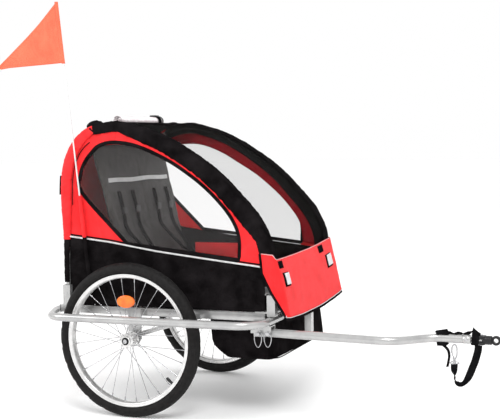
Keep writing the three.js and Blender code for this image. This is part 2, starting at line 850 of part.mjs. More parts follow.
// The swivelling hook that the strap's free end clips with.
function snapHook() {
  const x = 1000;
  const shape = new THREE.Shape();
  shape.absellipse(x, 240, 10, 22, 0, 2 * Math.PI, false);
  shape.holes.push(new THREE.Path().absellipse(x, 241, 5.5, 16, 0, 2 * Math.PI, true));
  const loop = new THREE.ExtrudeGeometry(shape, { depth: 5, bevelEnabled: false, curveSegments: 16 });
  loop.rotateX(Math.PI / 2).translate(0, -HITCH_Y + 2.5, 0);
  return join(loop, rod(at(x, -HITCH_Y, 207), at(x, -HITCH_Y, 221), 4, 12));
}

add("safety_strap", safetyStrap(), WEBBING);
add("snap_hook", snapHook(), BRIGHT_STEEL);

// ---- Flag ---------------------------------------------------------------------

// A point on the pole's middle line at a height.
function polePoint(z) {
  const share = (z - FLAG_SLEEVE_BOTTOM.z) / (FLAG_POLE_TOP.z - FLAG_SLEEVE_BOTTOM.z);
  return at(THREE.MathUtils.lerp(FLAG_SLEEVE_BOTTOM.x, FLAG_POLE_TOP.x, share), -FLAG_Y, z);
}

function flagSleeve() {
  const outer = rod(polePoint(FLAG_SLEEVE_BOTTOM.z), polePoint(FLAG_SLEEVE_TOP_Z), 6, 12);
  const bore = rod(polePoint(FLAG_SLEEVE_BOTTOM.z + 6), polePoint(FLAG_SLEEVE_TOP_Z + 20), 3.8, 12);
  return cut(outer, bore);
}

function flagPole() {
  return rod(polePoint(FLAG_SLEEVE_BOTTOM.z + 8), polePoint(FLAG_POLE_TOP.z), POLE_RADIUS, 10);
}

function flag() {
  const top = polePoint(FLAG_POLE_TOP.z - 2);
  const low = polePoint(1125);
  const outline = [
    [top.x - 4, top.z],
    [low.x - 4, low.z],
    [-484, 1114],
    [-484, 1118],
  ];
  return slab(outline, -FLAG_Y - 1, -FLAG_Y + 1);
}

add("flag_sleeve", flagSleeve(), RED_FABRIC);
add("flag_pole", flagPole(), WHITE_ROD);
add("flag", flag(), ORANGE_FLAG);

// ---- Origin -------------------------------------------------------------------

// The origin is the middle of the trailer's box, at ground level.
const middle = new THREE.Box3().setFromObject(group).getCenter(new THREE.Vector3());
group.position.x = -middle.x;

export default group;
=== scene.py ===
import math

import bmesh
import bpy
import numpy as np
from mathutils import Matrix, Vector, noise
from mathutils.bvhtree import BVHTree
from mathutils.geometry import delaunay_2d_cdt, interpolate_bezier


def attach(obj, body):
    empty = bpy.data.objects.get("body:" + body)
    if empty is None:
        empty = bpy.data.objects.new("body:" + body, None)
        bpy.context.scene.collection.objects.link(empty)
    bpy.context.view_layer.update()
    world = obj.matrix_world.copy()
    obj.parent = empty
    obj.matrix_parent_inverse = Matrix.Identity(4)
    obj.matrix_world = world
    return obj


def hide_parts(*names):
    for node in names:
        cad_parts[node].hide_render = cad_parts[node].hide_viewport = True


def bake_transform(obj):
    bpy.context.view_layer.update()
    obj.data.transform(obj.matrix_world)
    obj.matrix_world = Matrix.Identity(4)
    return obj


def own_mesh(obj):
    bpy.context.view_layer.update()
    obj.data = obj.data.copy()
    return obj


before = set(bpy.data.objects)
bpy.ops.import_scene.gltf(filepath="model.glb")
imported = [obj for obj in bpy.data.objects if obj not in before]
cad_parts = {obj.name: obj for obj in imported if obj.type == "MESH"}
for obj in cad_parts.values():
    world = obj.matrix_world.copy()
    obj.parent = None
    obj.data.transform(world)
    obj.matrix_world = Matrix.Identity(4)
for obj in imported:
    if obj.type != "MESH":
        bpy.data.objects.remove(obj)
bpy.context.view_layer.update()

# The looks of a folding two-seat child bicycle trailer, built around its CAD frame.
# P() takes millimetres measured from the axle, the ground and the trailer's middle line.
# Radii, widths, thicknesses and outlines are in millimetres too.

MM = 0.001
AXLE_X = -0.3255
HOOP_Y = 286.5
PANEL_Y = 297.5
WHEEL_Y = 351
WHEEL_RADIUS = 245
HITCH_Y = -217
HITCH_Z = 278
SIDES = (("right", -1), ("left", 1))


def P(x, y, z):
    return Vector((x * MM + AXLE_X, y * MM, z * MM))


# ---- Camera ---------------------------------------------------------------------

CAMERA_AT = (1.2855, -3.373, 0.866)
AZIMUTH, PITCH, ROLL = (math.radians(degrees) for degrees in (21.57, 3.62, -0.93))
SENSOR = 36
LENS = 78.48


def make_camera():
    """A long lens, a little above the trailer and to its right, looking slightly back."""
    level = Vector((math.cos(AZIMUTH), math.sin(AZIMUTH), 0))
    ahead = Vector((-math.sin(AZIMUTH), math.cos(AZIMUTH), 0))
    forward = ahead * math.cos(PITCH) - Vector((0, 0, math.sin(PITCH)))
    right = level * math.cos(ROLL) + level.cross(forward) * math.sin(ROLL)
    up = right.cross(forward)
    data = bpy.data.cameras.new("camera")
    data.sensor_width = SENSOR
    data.lens = LENS
    data.clip_end = 100
    cam = bpy.data.objects.new("camera", data)
    bpy.context.scene.collection.objects.link(cam)
    turn = Matrix((right, up, -forward)).transposed().to_4x4()
    cam.matrix_world = Matrix.Translation(CAMERA_AT) @ turn
    bpy.context.scene.camera = cam


make_camera()

# ---- Mesh helpers ---------------------------------------------------------------

def link(name, data, material, body=None):
    """A new object in the scene with its finish, riding on a body if one is given."""
    obj = bpy.data.objects.new(name, data)
    bpy.context.scene.collection.objects.link(obj)
    obj.data.materials.append(MATERIALS[material])
    if body:
        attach(obj, body)
    return obj


def mesh_of(name, verts, faces):
    data = bpy.data.meshes.new(name)
    data.from_pydata([tuple(v) for v in verts], [], faces)
    data.update()
    data.shade_smooth()
    return data


def outward(data):
    """Turns every face of a closed mesh to the outside."""
    bm = bmesh.new()
    bm.from_mesh(data)
    bmesh.ops.recalc_face_normals(bm, faces=bm.faces)
    bm.to_mesh(data)
    bm.free()
    return data


def smoothed(points, per=6, closed=False):
    """A Catmull-Rom line through the points, with a number of steps for each stretch."""
    pts = [Vector(p) for p in points]
    n = len(pts)
    out = []
    for i in range(n if closed else n - 1):
        b, c = pts[i], pts[(i + 1) % n]
        a = pts[i - 1] if closed or i > 0 else b * 2 - c
        d = pts[(i + 2) % n] if closed or i + 2 < n else c * 2 - b
        for k in range(per):
            t = k / per
            out.append(0.5 * ((2 * b) + (c - a) * t + (2 * a - 5 * b + 4 * c - d) * t * t
                              + (3 * b - a - 3 * c + d) * t * t * t))
    if not closed:
        out.append(pts[-1])
    return out


def lengths(points):
    """The length travelled along a line at each of its points."""
    total = [0.0]
    for a, b in zip(points, points[1:]):
        total.append(total[-1] + (b - a).length)
    return total


def clamped(value):
    return min(1, max(0, value))


def steps(start, end, count):
    """Values in even steps from start to end, both included."""
    return [start + (end - start) * k / count for k in range(count + 1)]


def turns(count):
    """Angles in even steps once round."""
    return [2 * math.pi * k / count for k in range(count)]


def even(points, count):
    """The same line with that many points evenly along it."""
    total = lengths(points)
    out = []
    k = 0
    for i in range(count):
        want = total[-1] * i / (count - 1)
        while k < len(points) - 2 and total[k + 1] < want:
            k += 1
        span = total[k + 1] - total[k] or 1
        out.append(points[k].lerp(points[k + 1], clamped((want - total[k]) / span)))
    return out


def curve(points, count):
    """A smooth line through the points, with that many points evenly along it."""
    return even(smoothed(points), count)


def row_faces(rows, count, closed=False, ring=True, first=0):
    """Faces between neighbouring rows of vertices.
    closed joins the last row to the first, ring each row's two ends."""
    faces = []
    for i in range(rows if closed else rows - 1):
        a = first + i * count
        b = first + (i + 1) % rows * count
        for k in range(count if ring else count - 1):
            q = (k + 1) % count
            faces.append((a + k, a + q, b + q, b + k))
    return faces


def end_faces(rows, count):
    """The first and the last ring, closed."""
    return [tuple(range(count)), tuple((rows - 1) * count + k for k in range(count))]


def sweep(points, section, closed=False, side=None):
    """Vertices and faces of a section, as (across, up) pairs, carried along a line.
    side fixes the across way."""
    n, m = len(points), len(section)
    verts = []
    across = None
    for i, p in enumerate(points):
        before = points[i - 1] if i or closed else p
        after = points[(i + 1) % n] if i + 1 < n or closed else p
        along = (after - before).normalized()
        if side is not None:
            across = side(i) if callable(side) else Vector(side)
        elif across is None:
            across = along.orthogonal()
        across = (across - along * across.dot(along)).normalized()
        up = across.cross(along)
        verts += [p + across * a + up * u for a, u in section]
    return verts, row_faces(n, m, closed) + ([] if closed else end_faces(n, m))


def circle(radius, sides=18):
    """A round section."""
    return [(radius * math.cos(a) * MM, radius * math.sin(a) * MM) for a in turns(sides)]


def flat(width, thick):
    """A strap's section: flat, with rounded edges."""
    h, t = width / 2 * MM, thick / 2 * MM
    top = [(x, t) for x in steps(t - h, h - t, 3)]
    bottom = [(x, -t) for x, _ in reversed(top)]
    return top + [(h, 0)] + bottom + [(-h, 0)]


def pipe(name, points, radius, material, body, closed=False, sides=18, section=None, side=None):
    """A round tube along a line, or any other section carried along it."""
    data = outward(mesh_of(name, *sweep(points, section or circle(radius, sides), closed, side)))
    data.set_sharp_from_angle(angle=math.radians(50))
    return link(name, data, material, body)


def strap(name, line, width, thick, side, body="base_frame"):
    """Webbing along a line."""
    return pipe(name, line, 0, "webbing", body, section=flat(width, thick), side=side)


def lathe(name, profile, centre, axis, material, body, segments=40, wobble=None):
    """A turned piece. profile is a closed loop of (radius, along) about an axis through centre."""
    axis = Vector(axis).normalized()
    u = axis.orthogonal().normalized() if abs(axis.y) < 0.9 else Vector((1, 0, 0))
    w = axis.cross(u)
    verts = []
    for i, angle in enumerate(turns(segments)):
        way = u * math.cos(angle) + w * math.sin(angle)
        for r, h in profile:
            if wobble:
                r += wobble(i, r, h)
            verts.append(Vector(centre) + (way * r + axis * h) * MM)
    data = mesh_of(name, verts, row_faces(segments, len(profile), True))
    bm = bmesh.new()
    bm.from_mesh(data)
    bmesh.ops.remove_doubles(bm, verts=bm.verts, dist=1e-6)
    bmesh.ops.dissolve_degenerate(bm, edges=bm.edges, dist=1e-7)
    bmesh.ops.recalc_face_normals(bm, faces=bm.faces)
    bm.to_mesh(data)
    bm.free()
    data.shade_smooth()
    data.set_sharp_from_angle(angle=math.radians(40))
    return link(name, data, material, body)


def block(name, low, high, material, body, bevel, segments=3):
    """A box with rounded edges, between two corners made by P()."""
    bm = bmesh.new()
    bmesh.ops.create_cube(bm, size=1)
    for v in bm.verts:
        v.co = Vector((low[i] + (high[i] - low[i]) * (v.co[i] + 0.5) for i in range(3)))
    bmesh.ops.bevel(bm, geom=bm.edges[:], offset=bevel * MM, segments=segments, profile=0.5, affect="EDGES")
    data = bpy.data.meshes.new(name)
    bm.to_mesh(data)
    bm.free()
    data.shade_smooth()
    data.set_sharp_from_angle(angle=math.radians(50))
    return link(name, data, material, body)


def final(obj):
    """Applies the modifiers, so that the mesh is the shape."""
    bpy.context.view_layer.update()
    data = bpy.data.meshes.new_from_object(obj.evaluated_get(bpy.context.evaluated_depsgraph_get()))
    obj.modifiers.clear()
    obj.data = data
    return obj


def thicken(obj, thick):
    """Gives a surface its thickness, half on each side."""
    mod = obj.modifiers.new("thick", "SOLIDIFY")
    mod.thickness = thick * MM
    mod.offset = 0
    return final(obj)


def cloth_grid(name, rows, material, body, thick=1.4, ring=False):
    """A sheet through rows of points, with thickness. ring closes each row into a loop."""
    verts = [p for row in rows for p in row]
    faces = row_faces(len(rows), len(rows[0]), ring=ring)
    obj = thicken(link(name, mesh_of(name, verts, faces), material), thick)
    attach(obj, body)
    return obj


def inside(point, loop):
    """Whether a 2D point is in a closed outline."""
    x, z = point
    odd = False
    for (x0, z0), (x1, z1) in zip(loop, loop[1:] + loop[:1]):
        if (z0 > z) != (z1 > z) and x < (x1 - x0) * (z - z0) / (z1 - z0) + x0:
            odd = not odd
    return odd


def fine(loop, longest=9.0):
    """A closed outline with no long edges."""
    made = []
    for a, b in zip(loop, loop[1:] + loop[:1]):
        n = max(1, round(math.dist(a, b) / longest))
        made += [(a[0] + (b[0] - a[0]) * k / n, a[1] + (b[1] - a[1]) * k / n) for k in range(n)]
    return made


def cut_cloth(name, outer, holes, place, material, step, thick, body=None):
    """A flat sheet with a fine inner grid, cut to an outline in mm and set in space by place(x, z)."""
    points, edges = [], []
    for loop in [outer, *holes]:
        start = len(points)
        points += [Vector(p) for p in loop]
        edges += [(start + k, start + (k + 1) % len(loop)) for k in range(len(loop))]
    xs, zs = [p[0] for p in outer], [p[1] for p in outer]
    rim = np.array([tuple(p) for p in points])
    row = 0
    z = min(zs) + step / 2
    while z < max(zs):
        x = min(xs) + step * (0.25 + 0.5 * (row % 2))
        while x < max(xs):
            if inside((x, z), outer) and not any(inside((x, z), h) for h in holes):
                if np.min(np.hypot(rim[:, 0] - x, rim[:, 1] - z)) > step * 0.45:
                    points.append(Vector((x, z)))
            x += step
        z += step * 0.87
        row += 1
    out, _, faces, *_ = delaunay_2d_cdt(points, edges, [], 0, 1e-4)
    kept = []
    for f in faces:
        centre = sum((out[i] for i in f), Vector((0, 0))) / len(f)
        if inside(tuple(centre), outer) and not any(inside(tuple(centre), h) for h in holes):
            kept.append(tuple(f))
    data = mesh_of(name, [place(p.x, p.y) for p in out], kept)
    bm = bmesh.new()
    bm.from_mesh(data)
    bmesh.ops.delete(bm, geom=[v for v in bm.verts if not v.link_faces], context="VERTS")
    bm.to_mesh(data)
    bm.free()
    obj = thicken(link(name, data, material), thick)
    if body:
        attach(obj, body)
    return obj


def ripple(x, y, z, scale=1.0, seed=0.0):
    """Smooth noise from -1 to 1 over millimetres."""
    return noise.noise(Vector((x * scale + seed, y * scale + 3.1 * seed, z * scale - seed)))


def squash(obj):
    """Gives a soft piece its own copy of its mesh."""
    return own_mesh(obj)


# ---- Materials ------------------------------------------------------------------

MATERIALS = {}


def finish_of(name, low, high, rough, metal, scale, bump, sheen=0.0, coat=0.0,
              alpha=1.0, specular=0.5):
    """A Principled finish: colour mottled between two tones, uneven roughness and layers of fine relief.
    bump: (kind, scale, depth) layers, kind one of noise, weave and cells."""
    mat = bpy.data.materials.new(name)
    mat.use_nodes = True
    nodes, links = mat.node_tree.nodes, mat.node_tree.links
    main = nodes["Principled BSDF"]
    main.inputs["Metallic"].default_value = metal
    main.inputs["Specular IOR Level"].default_value = specular
    main.inputs["Sheen Weight"].default_value = sheen
    main.inputs["Coat Weight"].default_value = coat
    main.inputs["Alpha"].default_value = alpha
    where = nodes.new("ShaderNodeTexCoord").outputs["Object"]

    def cloud(size, detail=5.0):
        n = nodes.new("ShaderNodeTexNoise")
        n.inputs["Scale"].default_value = size
        n.inputs["Detail"].default_value = detail
        links.new(where, n.inputs["Vector"])
        return n.outputs["Fac"]

    ramp = nodes.new("ShaderNodeValToRGB")
    ramp.color_ramp.elements[0].position = 0.3
    ramp.color_ramp.elements[0].color = (*low, 1)
    ramp.color_ramp.elements[1].position = 0.7
    ramp.color_ramp.elements[1].color = (*high, 1)
    links.new(cloud(scale), ramp.inputs["Fac"])
    links.new(ramp.outputs["Color"], main.inputs["Base Color"])
    spread_map = nodes.new("ShaderNodeMapRange")
    spread_map.inputs["To Min"].default_value = rough - 0.04
    spread_map.inputs["To Max"].default_value = rough + 0.04
    links.new(cloud(scale * 2.3), spread_map.inputs["Value"])
    links.new(spread_map.outputs["Result"], main.inputs["Roughness"])
    last = None
    for kind, size, depth in bump:
        if kind == "weave":
            fac = None
            for way in ("X", "Y", "Z"):
                wave = nodes.new("ShaderNodeTexWave")
                wave.bands_direction = way
                wave.inputs["Scale"].default_value = size
                wave.inputs["Distortion"].default_value = 0.6
                links.new(where, wave.inputs["Vector"])
                if fac is None:
                    fac = wave.outputs["Fac"]
                else:
                    mix = nodes.new("ShaderNodeMath")
                    mix.operation = "MULTIPLY" if way == "Z" else "ADD"
                    links.new(fac, mix.inputs[0])
                    links.new(wave.outputs["Fac"], mix.inputs[1])
                    fac = mix.outputs[0]
        elif kind == "cells":
            cells = nodes.new("ShaderNodeTexVoronoi")
            cells.inputs["Scale"].default_value = size
            links.new(where, cells.inputs["Vector"])
            fac = cells.outputs["Distance"]
        else:
            fac = cloud(size, 8.0)
        layer = nodes.new("ShaderNodeBump")
        layer.inputs["Strength"].default_value = 0.8
        layer.inputs["Distance"].default_value = depth * MM
        links.new(fac, layer.inputs["Height"])
        if last:
            links.new(last, layer.inputs["Normal"])
        last = layer.outputs["Normal"]
    if last:
        links.new(last, main.inputs["Normal"])
    MATERIALS[name] = mat


CLOTH = (("weave", 420.0, 0.25), ("noise", 60.0, 1.2))
finish_of("steel", (0.38, 0.38, 0.38), (0.47, 0.47, 0.465), 0.24, 0.6, 30,
          bump=(("noise", 160.0, 0.012),), coat=0.2)
finish_of("bright", (0.36, 0.36, 0.37), (0.5, 0.5, 0.51), 0.2, 1.0, 60,
          bump=(("noise", 160.0, 0.01),))
finish_of("alloy", (0.6, 0.595, 0.59), (0.74, 0.735, 0.73), 0.26, 0.6, 50,
          bump=(("noise", 160.0, 0.01),))
finish_of("rubber", (0.007, 0.0065, 0.0065), (0.014, 0.013, 0.013), 0.6, 0, 90,
          bump=(("noise", 400.0, 0.2),), specular=0.12)
finish_of("plastic", (0.007, 0.007, 0.008), (0.013, 0.013, 0.014), 0.38, 0, 60,
          bump=(("noise", 1200.0, 0.06),), specular=0.3)
finish_of("amber", (0.82, 0.13, 0.006), (0.98, 0.2, 0.012), 0.16, 0, 60,
          bump=(("cells", 420.0, 0.8),), coat=0.3)
finish_of("black_cloth", (0.005, 0.0043, 0.0046), (0.014, 0.0122, 0.013), 0.6, 0, 22,
          bump=CLOTH, specular=0.0)
finish_of("red_cloth", (0.78, 0.013, 0.016), (0.92, 0.025, 0.029), 0.6, 0, 18,
          bump=CLOTH, sheen=0.03, specular=0.2)
# A darker copy of the red cloth: painted shade, for red cloth inside the cabin out of the light.
finish_of("shaded_red", (0.3, 0.006, 0.012), (0.4, 0.01, 0.018), 0.7, 0, 14,
          bump=CLOTH, specular=0.04)
finish_of("seat_cloth", (0.03, 0.028, 0.027), (0.068, 0.065, 0.062), 0.5, 0, 55,
          bump=(("weave", 320.0, 0.4), ("noise", 26.0, 7.0)), sheen=0.02, specular=0.14)
finish_of("white_print", (0.55, 0.55, 0.55), (0.68, 0.68, 0.68), 0.55, 0, 60, bump=CLOTH)
finish_of("bright_print", (0.62, 0.62, 0.63), (0.8, 0.8, 0.81), 0.3, 0.25, 70,
          bump=(("weave", 500.0, 0.2),))
finish_of("piping", (0.5, 0.5, 0.5), (0.68, 0.68, 0.68), 0.35, 0.2, 60,
          bump=(("weave", 500.0, 0.2),))
finish_of("screen", (0.014, 0.013, 0.012), (0.022, 0.021, 0.02), 0.6, 0, 40,
          bump=(("weave", 300.0, 0.3),), alpha=0.13, specular=0.02)
finish_of("window", (0.3, 0.28, 0.28), (0.42, 0.4, 0.4), 0.16, 0, 12,
          bump=(("noise", 14.0, 3.0),), alpha=0.03, specular=0.12)
finish_of("vinyl", (0.62, 0.5, 0.52), (0.9, 0.86, 0.87), 0.2, 0, 45,
          bump=(("noise", 70.0, 1.5),), alpha=0.93, coat=0.3)
finish_of("orange", (0.95, 0.105, 0.042), (1.0, 0.14, 0.062), 0.6, 0, 16,
          bump=(("weave", 500.0, 0.15), ("noise", 30.0, 1.0)), sheen=0.1)
finish_of("white_pole", (0.6, 0.6, 0.6), (0.68, 0.68, 0.68), 0.35, 0, 60,
          bump=(("noise", 600.0, 0.05),))
finish_of("webbing", (0.005, 0.005, 0.0055), (0.011, 0.011, 0.012), 0.6, 0, 60,
          bump=(("weave", 260.0, 0.5),), specular=0.0)

# ---- Safety strap: the one free cord --------------------------------------------

def at_hitch(x, z):
    """A place in the hitch's upright plane."""
    return P(x, HITCH_Y, z)


STRAP_WIDTH = 22
STRAP_POINTS = 60
STRAP_ROUTE = [at_hitch(x, z) for x, z in (
    (1070, 262), (1069, 248), (1065, 232), (1060, 214), (1053, 196), (1046, 178), (1038, 161), (1028, 148),
    (1015, 143), (1004, 150), (1000, 165), (999, 180), (999, 192), (1000, 203))]
HOOK_X = 1000


def safety_strap():
    line = curve(STRAP_ROUTE, STRAP_POINTS)
    last = STRAP_POINTS - 1

    def face(i):
        """The strap shows its face on the way down and up, and turns on edge at the bottom of its loop."""
        way = (line[min(i + 1, last)] - line[max(i - 1, 0)]).normalized()
        edge = way.cross(Vector((0, 1, 0)))
        low_turn = 76 * math.exp(-((i / last - 0.8) / 0.07) ** 2)
        mid_turn = 34 * math.exp(-((i / last - 0.6) / 0.1) ** 2)
        turn = math.radians(14 + low_turn + mid_turn)
        return edge * math.cos(turn) + Vector((0, 1, 0)) * math.sin(turn)

    webbing = strap("safety_strap_webbing", line, STRAP_WIDTH, 2.2, face, "drawbar")
    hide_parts("safety_strap")
    ring = [at_hitch(HOOK_X, 205) + Vector((y, 0.1 * y, z)) * MM for y, z in (
        (-12, -1), (-12, 1), (-8, 4), (0, 5.5), (8, 4), (12, 1), (12, -1), (0, -1.6))]
    d_ring = pipe("strap_d_ring", smoothed(ring, 5, True), 1.6, "bright", "snap_hook", closed=True, sides=10)
    hook_line = [at_hitch(HOOK_X + x, z) for x, z in (
        (0, 219), (5.5, 224), (7.6, 233), (7.8, 243), (6.5, 253), (2, 259.5), (-3, 258.5), (-6.6, 251),
        (-7.6, 243), (-7.4, 235))]
    hook = pipe("snap_hook_bow", curve(hook_line, 44), 2.3, "bright", "snap_hook", sides=12)
    gate_line = [at_hitch(HOOK_X + x, z) for x, z in ((-7.3, 237), (-4.6, 226), (-2, 221))]
    gate = pipe("snap_hook_gate", gate_line, 1.5, "bright", "snap_hook", sides=10)
    swivel = lathe("snap_hook_swivel", [
        (0, -7.5), (4.2, -7.5), (5.2, -6), (5.2, -3), (3.6, -1), (3.6, 4), (5.8, 5.5), (5.8, 7.5), (0, 8.5)],
        at_hitch(HOOK_X, 213), (0, 0, 1), "bright", "snap_hook", 32)
    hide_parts("snap_hook")


safety_strap()

# ---- Wheels ---------------------------------------------------------------------

SPOKES = 28
TREAD_STEPS = 240
VALVE_ANGLE = 0.85


def wheel_centre(side):
    """The middle of a wheel, on its axle."""
    return P(0, WHEEL_Y * side, WHEEL_RADIUS)


def mirrored(half):
    """A profile with its mirror image, from (radius, half width) pairs."""
    return [(r, -y) for r, y in half] + [(r, y) for r, y in reversed(half)]


def tyre(name, side):
    """A slick-shouldered tyre with rain grooves, a moulding line and a bead on each side."""
    profile = mirrored([
        (211, 12.6), (213.5, 15.6), (216, 17.6), (219, 19.0), (221, 19.2), (221.8, 19.9), (223, 19.9),
        (224, 19.6), (228, 19.7), (232, 18.6), (236, 16.2), (239, 13.4), (240.6, 12.2), (241.6, 9.6),
        (243.2, 7.6), (244.2, 4.6), (244.8, 2.2), (243.6, 1.2), (243.6, 0.4)])

    def grooves(i, r, h):
        if r > 238.5 and 4 < abs(h) < 14 and i % 10 in ((0, 1) if h > 0 else (5, 6)):
            return -1.7
        if 228 < r < 238.5 and i % 5 == 0:
            return -0.6
        return 0

    made = lathe("tyre_" + name, profile + [(209.5, 9), (209.5, -9)], wheel_centre(side), (0, 1, 0), "rubber",
                 name + "_wheel", TREAD_STEPS, grooves)
    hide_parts("tyre_" + name)


def rim(name, side):
    """A double-walled rim with its valve."""
    profile = mirrored([
        (210.5, 14.2), (210.3, 15.8), (208.5, 16.3), (206.5, 15.8), (205.8, 15.2), (203, 14.9), (200, 14.4),
        (198.6, 12.8), (197.4, 9.5), (196.4, 6.5), (196, 3)])
    centre = wheel_centre(side)
    made = lathe("rim_" + name, profile + [(206.5, 12.5), (206.5, -12.5)], centre, (0, 1, 0), "alloy",
                 name + "_wheel", 144)
    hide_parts("rim_" + name)
    down = Vector((math.sin(VALVE_ANGLE), 0, -math.cos(VALVE_ANGLE)))
    lathe("valve_" + name, [
        (0, 0), (5.6, 0), (5.6, 3), (4.2, 4.5), (4, 12), (4.8, 12.5), (4.8, 25), (4, 27), (0, 27.5)],
        centre + down * 198 * MM, -down, "plastic", name + "_wheel", 24)


def rods(name, pairs, material, body):
    """Thin round rods from (start, end, radius), in one mesh."""
    sides = 8
    verts, faces = [], []
    for a, b, radius in pairs:
        along = (b - a).normalized()
        u = along.orthogonal().normalized()
        w = along.cross(u)
        first = len(verts)
        for end in (a, b):
            verts += [end + (u * math.cos(t) + w * math.sin(t)) * radius * MM for t in turns(sides)]
        faces += row_faces(2, sides, first=first)
        faces.append(tuple(first + k for k in reversed(range(sides))))
        faces.append(tuple(first + sides + k for k in range(sides)))
    data = mesh_of(name, verts, faces)
    data.set_sharp_from_angle(angle=math.radians(60))
    return link(name, data, material, body)


def spokes(name, side):
    """Spokes crossing in pairs, alternating between the hub's two flanges."""
    centre = wheel_centre(side)
    wires, nipples, heads = [], [], []
    for i, turn in enumerate(turns(SPOKES)):
        way = side if i % 2 == 0 else -side
        pair = 1 if i % 4 < 2 else -1
        angle = turn + math.pi / SPOKES
        start = angle + pair * 0.5
        inner = centre + Vector((21 * math.cos(start), way * (18.5 + pair * 2.2), -21 * math.sin(start))) * MM
        outer = centre + Vector((196.5 * math.cos(angle), way * 2, -196.5 * math.sin(angle))) * MM
        half_head = Vector((0, way * 1.6, 0)) * MM
        wires.append((inner, outer, 1))
        nipples.append((outer.lerp(inner, 0.072), outer, 2))
        heads.append((inner + half_head, inner - half_head, 2))
    rods("spokes_" + name, wires, "bright", name + "_wheel")
    rods("spoke_nipples_" + name, nipples + heads, "bright", name + "_wheel")


def hub(name, side):
    """A flanged hub with its seal, stub axle and quick-release button."""
    centre = wheel_centre(side)
    way = (0, side, 0)
    body = name + "_wheel"
    shell = lathe("hub_shell_" + name, [
        (8, 23.5), (11.8, 23.5), (12, 26), (12.8, 27), (14.8, 27), (15.8, 26), (15.8, 21.4), (15.2, 20.6),
        (23, 20.4), (24, 19.8), (24, 17.2), (23, 16.6), (14.5, 15.6), (12.8, 12), (12, 4), (12, -4),
        (12.8, -12), (14.5, -15.6), (23, -16.6), (24, -17.2), (24, -19.8), (23, -20.4), (15, -20.6),
        (15, -24), (12, -25), (7, -25)], centre, way, "alloy", body, 64)
    lathe("hub_seal_" + name, [
        (7.4, 22), (7.4, 25.4), (8, 26), (11.2, 26), (11.7, 25.4), (11.7, 22)],
        centre, way, "plastic", body, 64)
    lathe("stub_axle_" + name, [
        (0, -24), (9, -24), (9, -33), (6, -34), (6, -46.5), (5.2, -48), (0, -48)],
        centre, way, "bright", body)
    button = lathe("quick_release_button_" + name, [
        (0, 5), (6.6, 5), (7, 6), (7, 29.2), (6.5, 30.4), (5.4, 31), (4.6, 30.4), (3.4, 30), (0, 29.9)],
        centre, way, "bright", name + "_release_button")
    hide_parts("hub_and_spokes_" + name)
    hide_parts("release_button_" + name)


def reflector(name, side):
    """An oval lens with a rounded rim, and two clips on the spokes."""
    body = name + "_wheel"
    centre = wheel_centre(side) + Vector((0, 0, 124)) * MM
    rings = [(1.0, 15), (1.0, 17.6), (0.985, 19.4), (0.94, 20.8), (0.86, 21.6), (0.82, 21.2), (0.78, 21.5),
             (0.5, 21.8), (0.25, 21.9)]
    count = 72
    verts = [centre + Vector((31 * scale * math.cos(a), side * out, 20 * scale * math.sin(a))) * MM
             for scale, out in rings for a in turns(count)]
    faces = row_faces(len(rings), count) + end_faces(len(rings), count)
    data = outward(mesh_of("reflector_" + name, verts, faces))
    data.set_sharp_from_angle(angle=math.radians(35))
    lens = link("reflector_lens_" + name, data, "amber", body)
    y0, y1 = sorted((360 * side, 366.5 * side))
    for k, x in enumerate((-17, 17)):
        block(f"reflector_clip_{name}_{k}", P(x - 3.5, y0, 365), P(x + 3.5, y1, 373), "amber", body, 1.0)
    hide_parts("reflector_" + name)


for word, side in SIDES:
    tyre(word, side)
    rim(word, side)
    spokes(word, side)
    hub(word, side)
    reflector(word, side)

# ---- Frame ----------------------------------------------------------------------

BUMPER_RADIUS = 12.5
DRAWBAR_RADIUS = 13


def rounded(corners, radii, steps_each):
    """Straight runs joined by round bends of those radii."""
    pts = [Vector(c) for c in corners]
    out = [pts[0]]
    for i in range(1, len(pts) - 1):
        a, b, c = pts[i - 1], pts[i], pts[i + 1]
        back, ahead = (a - b).normalized(), (c - b).normalized()
        turn = back.angle(ahead)
        reach = min(radii[i - 1] * MM / math.tan(turn / 2), (a - b).length * 0.49, (c - b).length * 0.49)
        start, end = b + back * reach, b + ahead * reach
        handle = 4 / 3 * math.tan((math.pi - turn) / 4) * reach * math.tan(turn / 2)
        out += interpolate_bezier(start, start - back * handle, end - ahead * handle, end, steps_each)
    out.append(pts[-1])
    return out


def split_long(points, longest=0.05):
    """The same line with no long stretches."""
    out = [points[0]]
    for a, b in zip(points, points[1:]):
        n = max(1, round((b - a).length / longest))
        out += [a.lerp(b, k / n) for k in range(1, n + 1)]
    return out


def plug(name, centre, way, radius, body):
    """The domed cap in a tube's open end."""
    lathe(name, [(0, -2), (radius - 0.6, -2), (radius, -1), (radius + 0.2, 0.6), (radius - 0.8, 2.2),
                 (radius * 0.6, 3.4), (0, 3.8)], centre, way, "plastic", body)


def bumper(name, side):
    """The bent tube round the outside of a wheel."""
    corners = [P(x, side * y, 317) for x, y in (
        (-313, 205), (-303, 285), (-250, 410), (455, 410), (455, 205))]
    line = split_long(rounded(corners, (120, 60, 85), 12))
    made = pipe("wheel_bumper_" + name, line, BUMPER_RADIUS, "steel", "base_frame", sides=28)
    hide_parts("bumper_" + name)
    plug("bumper_plug_rear_" + name, line[0], line[0] - line[1], BUMPER_RADIUS, "base_frame")
    plug("bumper_plug_front_" + name, line[-1], line[-1] - line[-2], BUMPER_RADIUS, "base_frame")


def rail(name, side):
    """A square side rail with its end plugs."""
    y0, y1 = sorted((270 * side, 290 * side))
    made = block("square_rail_" + name, P(-285, y0, 313), P(436, y1, 339), "steel", "base_frame", 2.2, 4)
    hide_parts("side_rail_" + name)
    for x, word in ((-286.4, "rear"), (436, "front")):
        block(f"rail_plug_{word}_{name}", P(x - 0.4, y0 + 1, 314), P(x + 1.8, y1 - 1, 338), "plastic",
              "base_frame", 0.7)


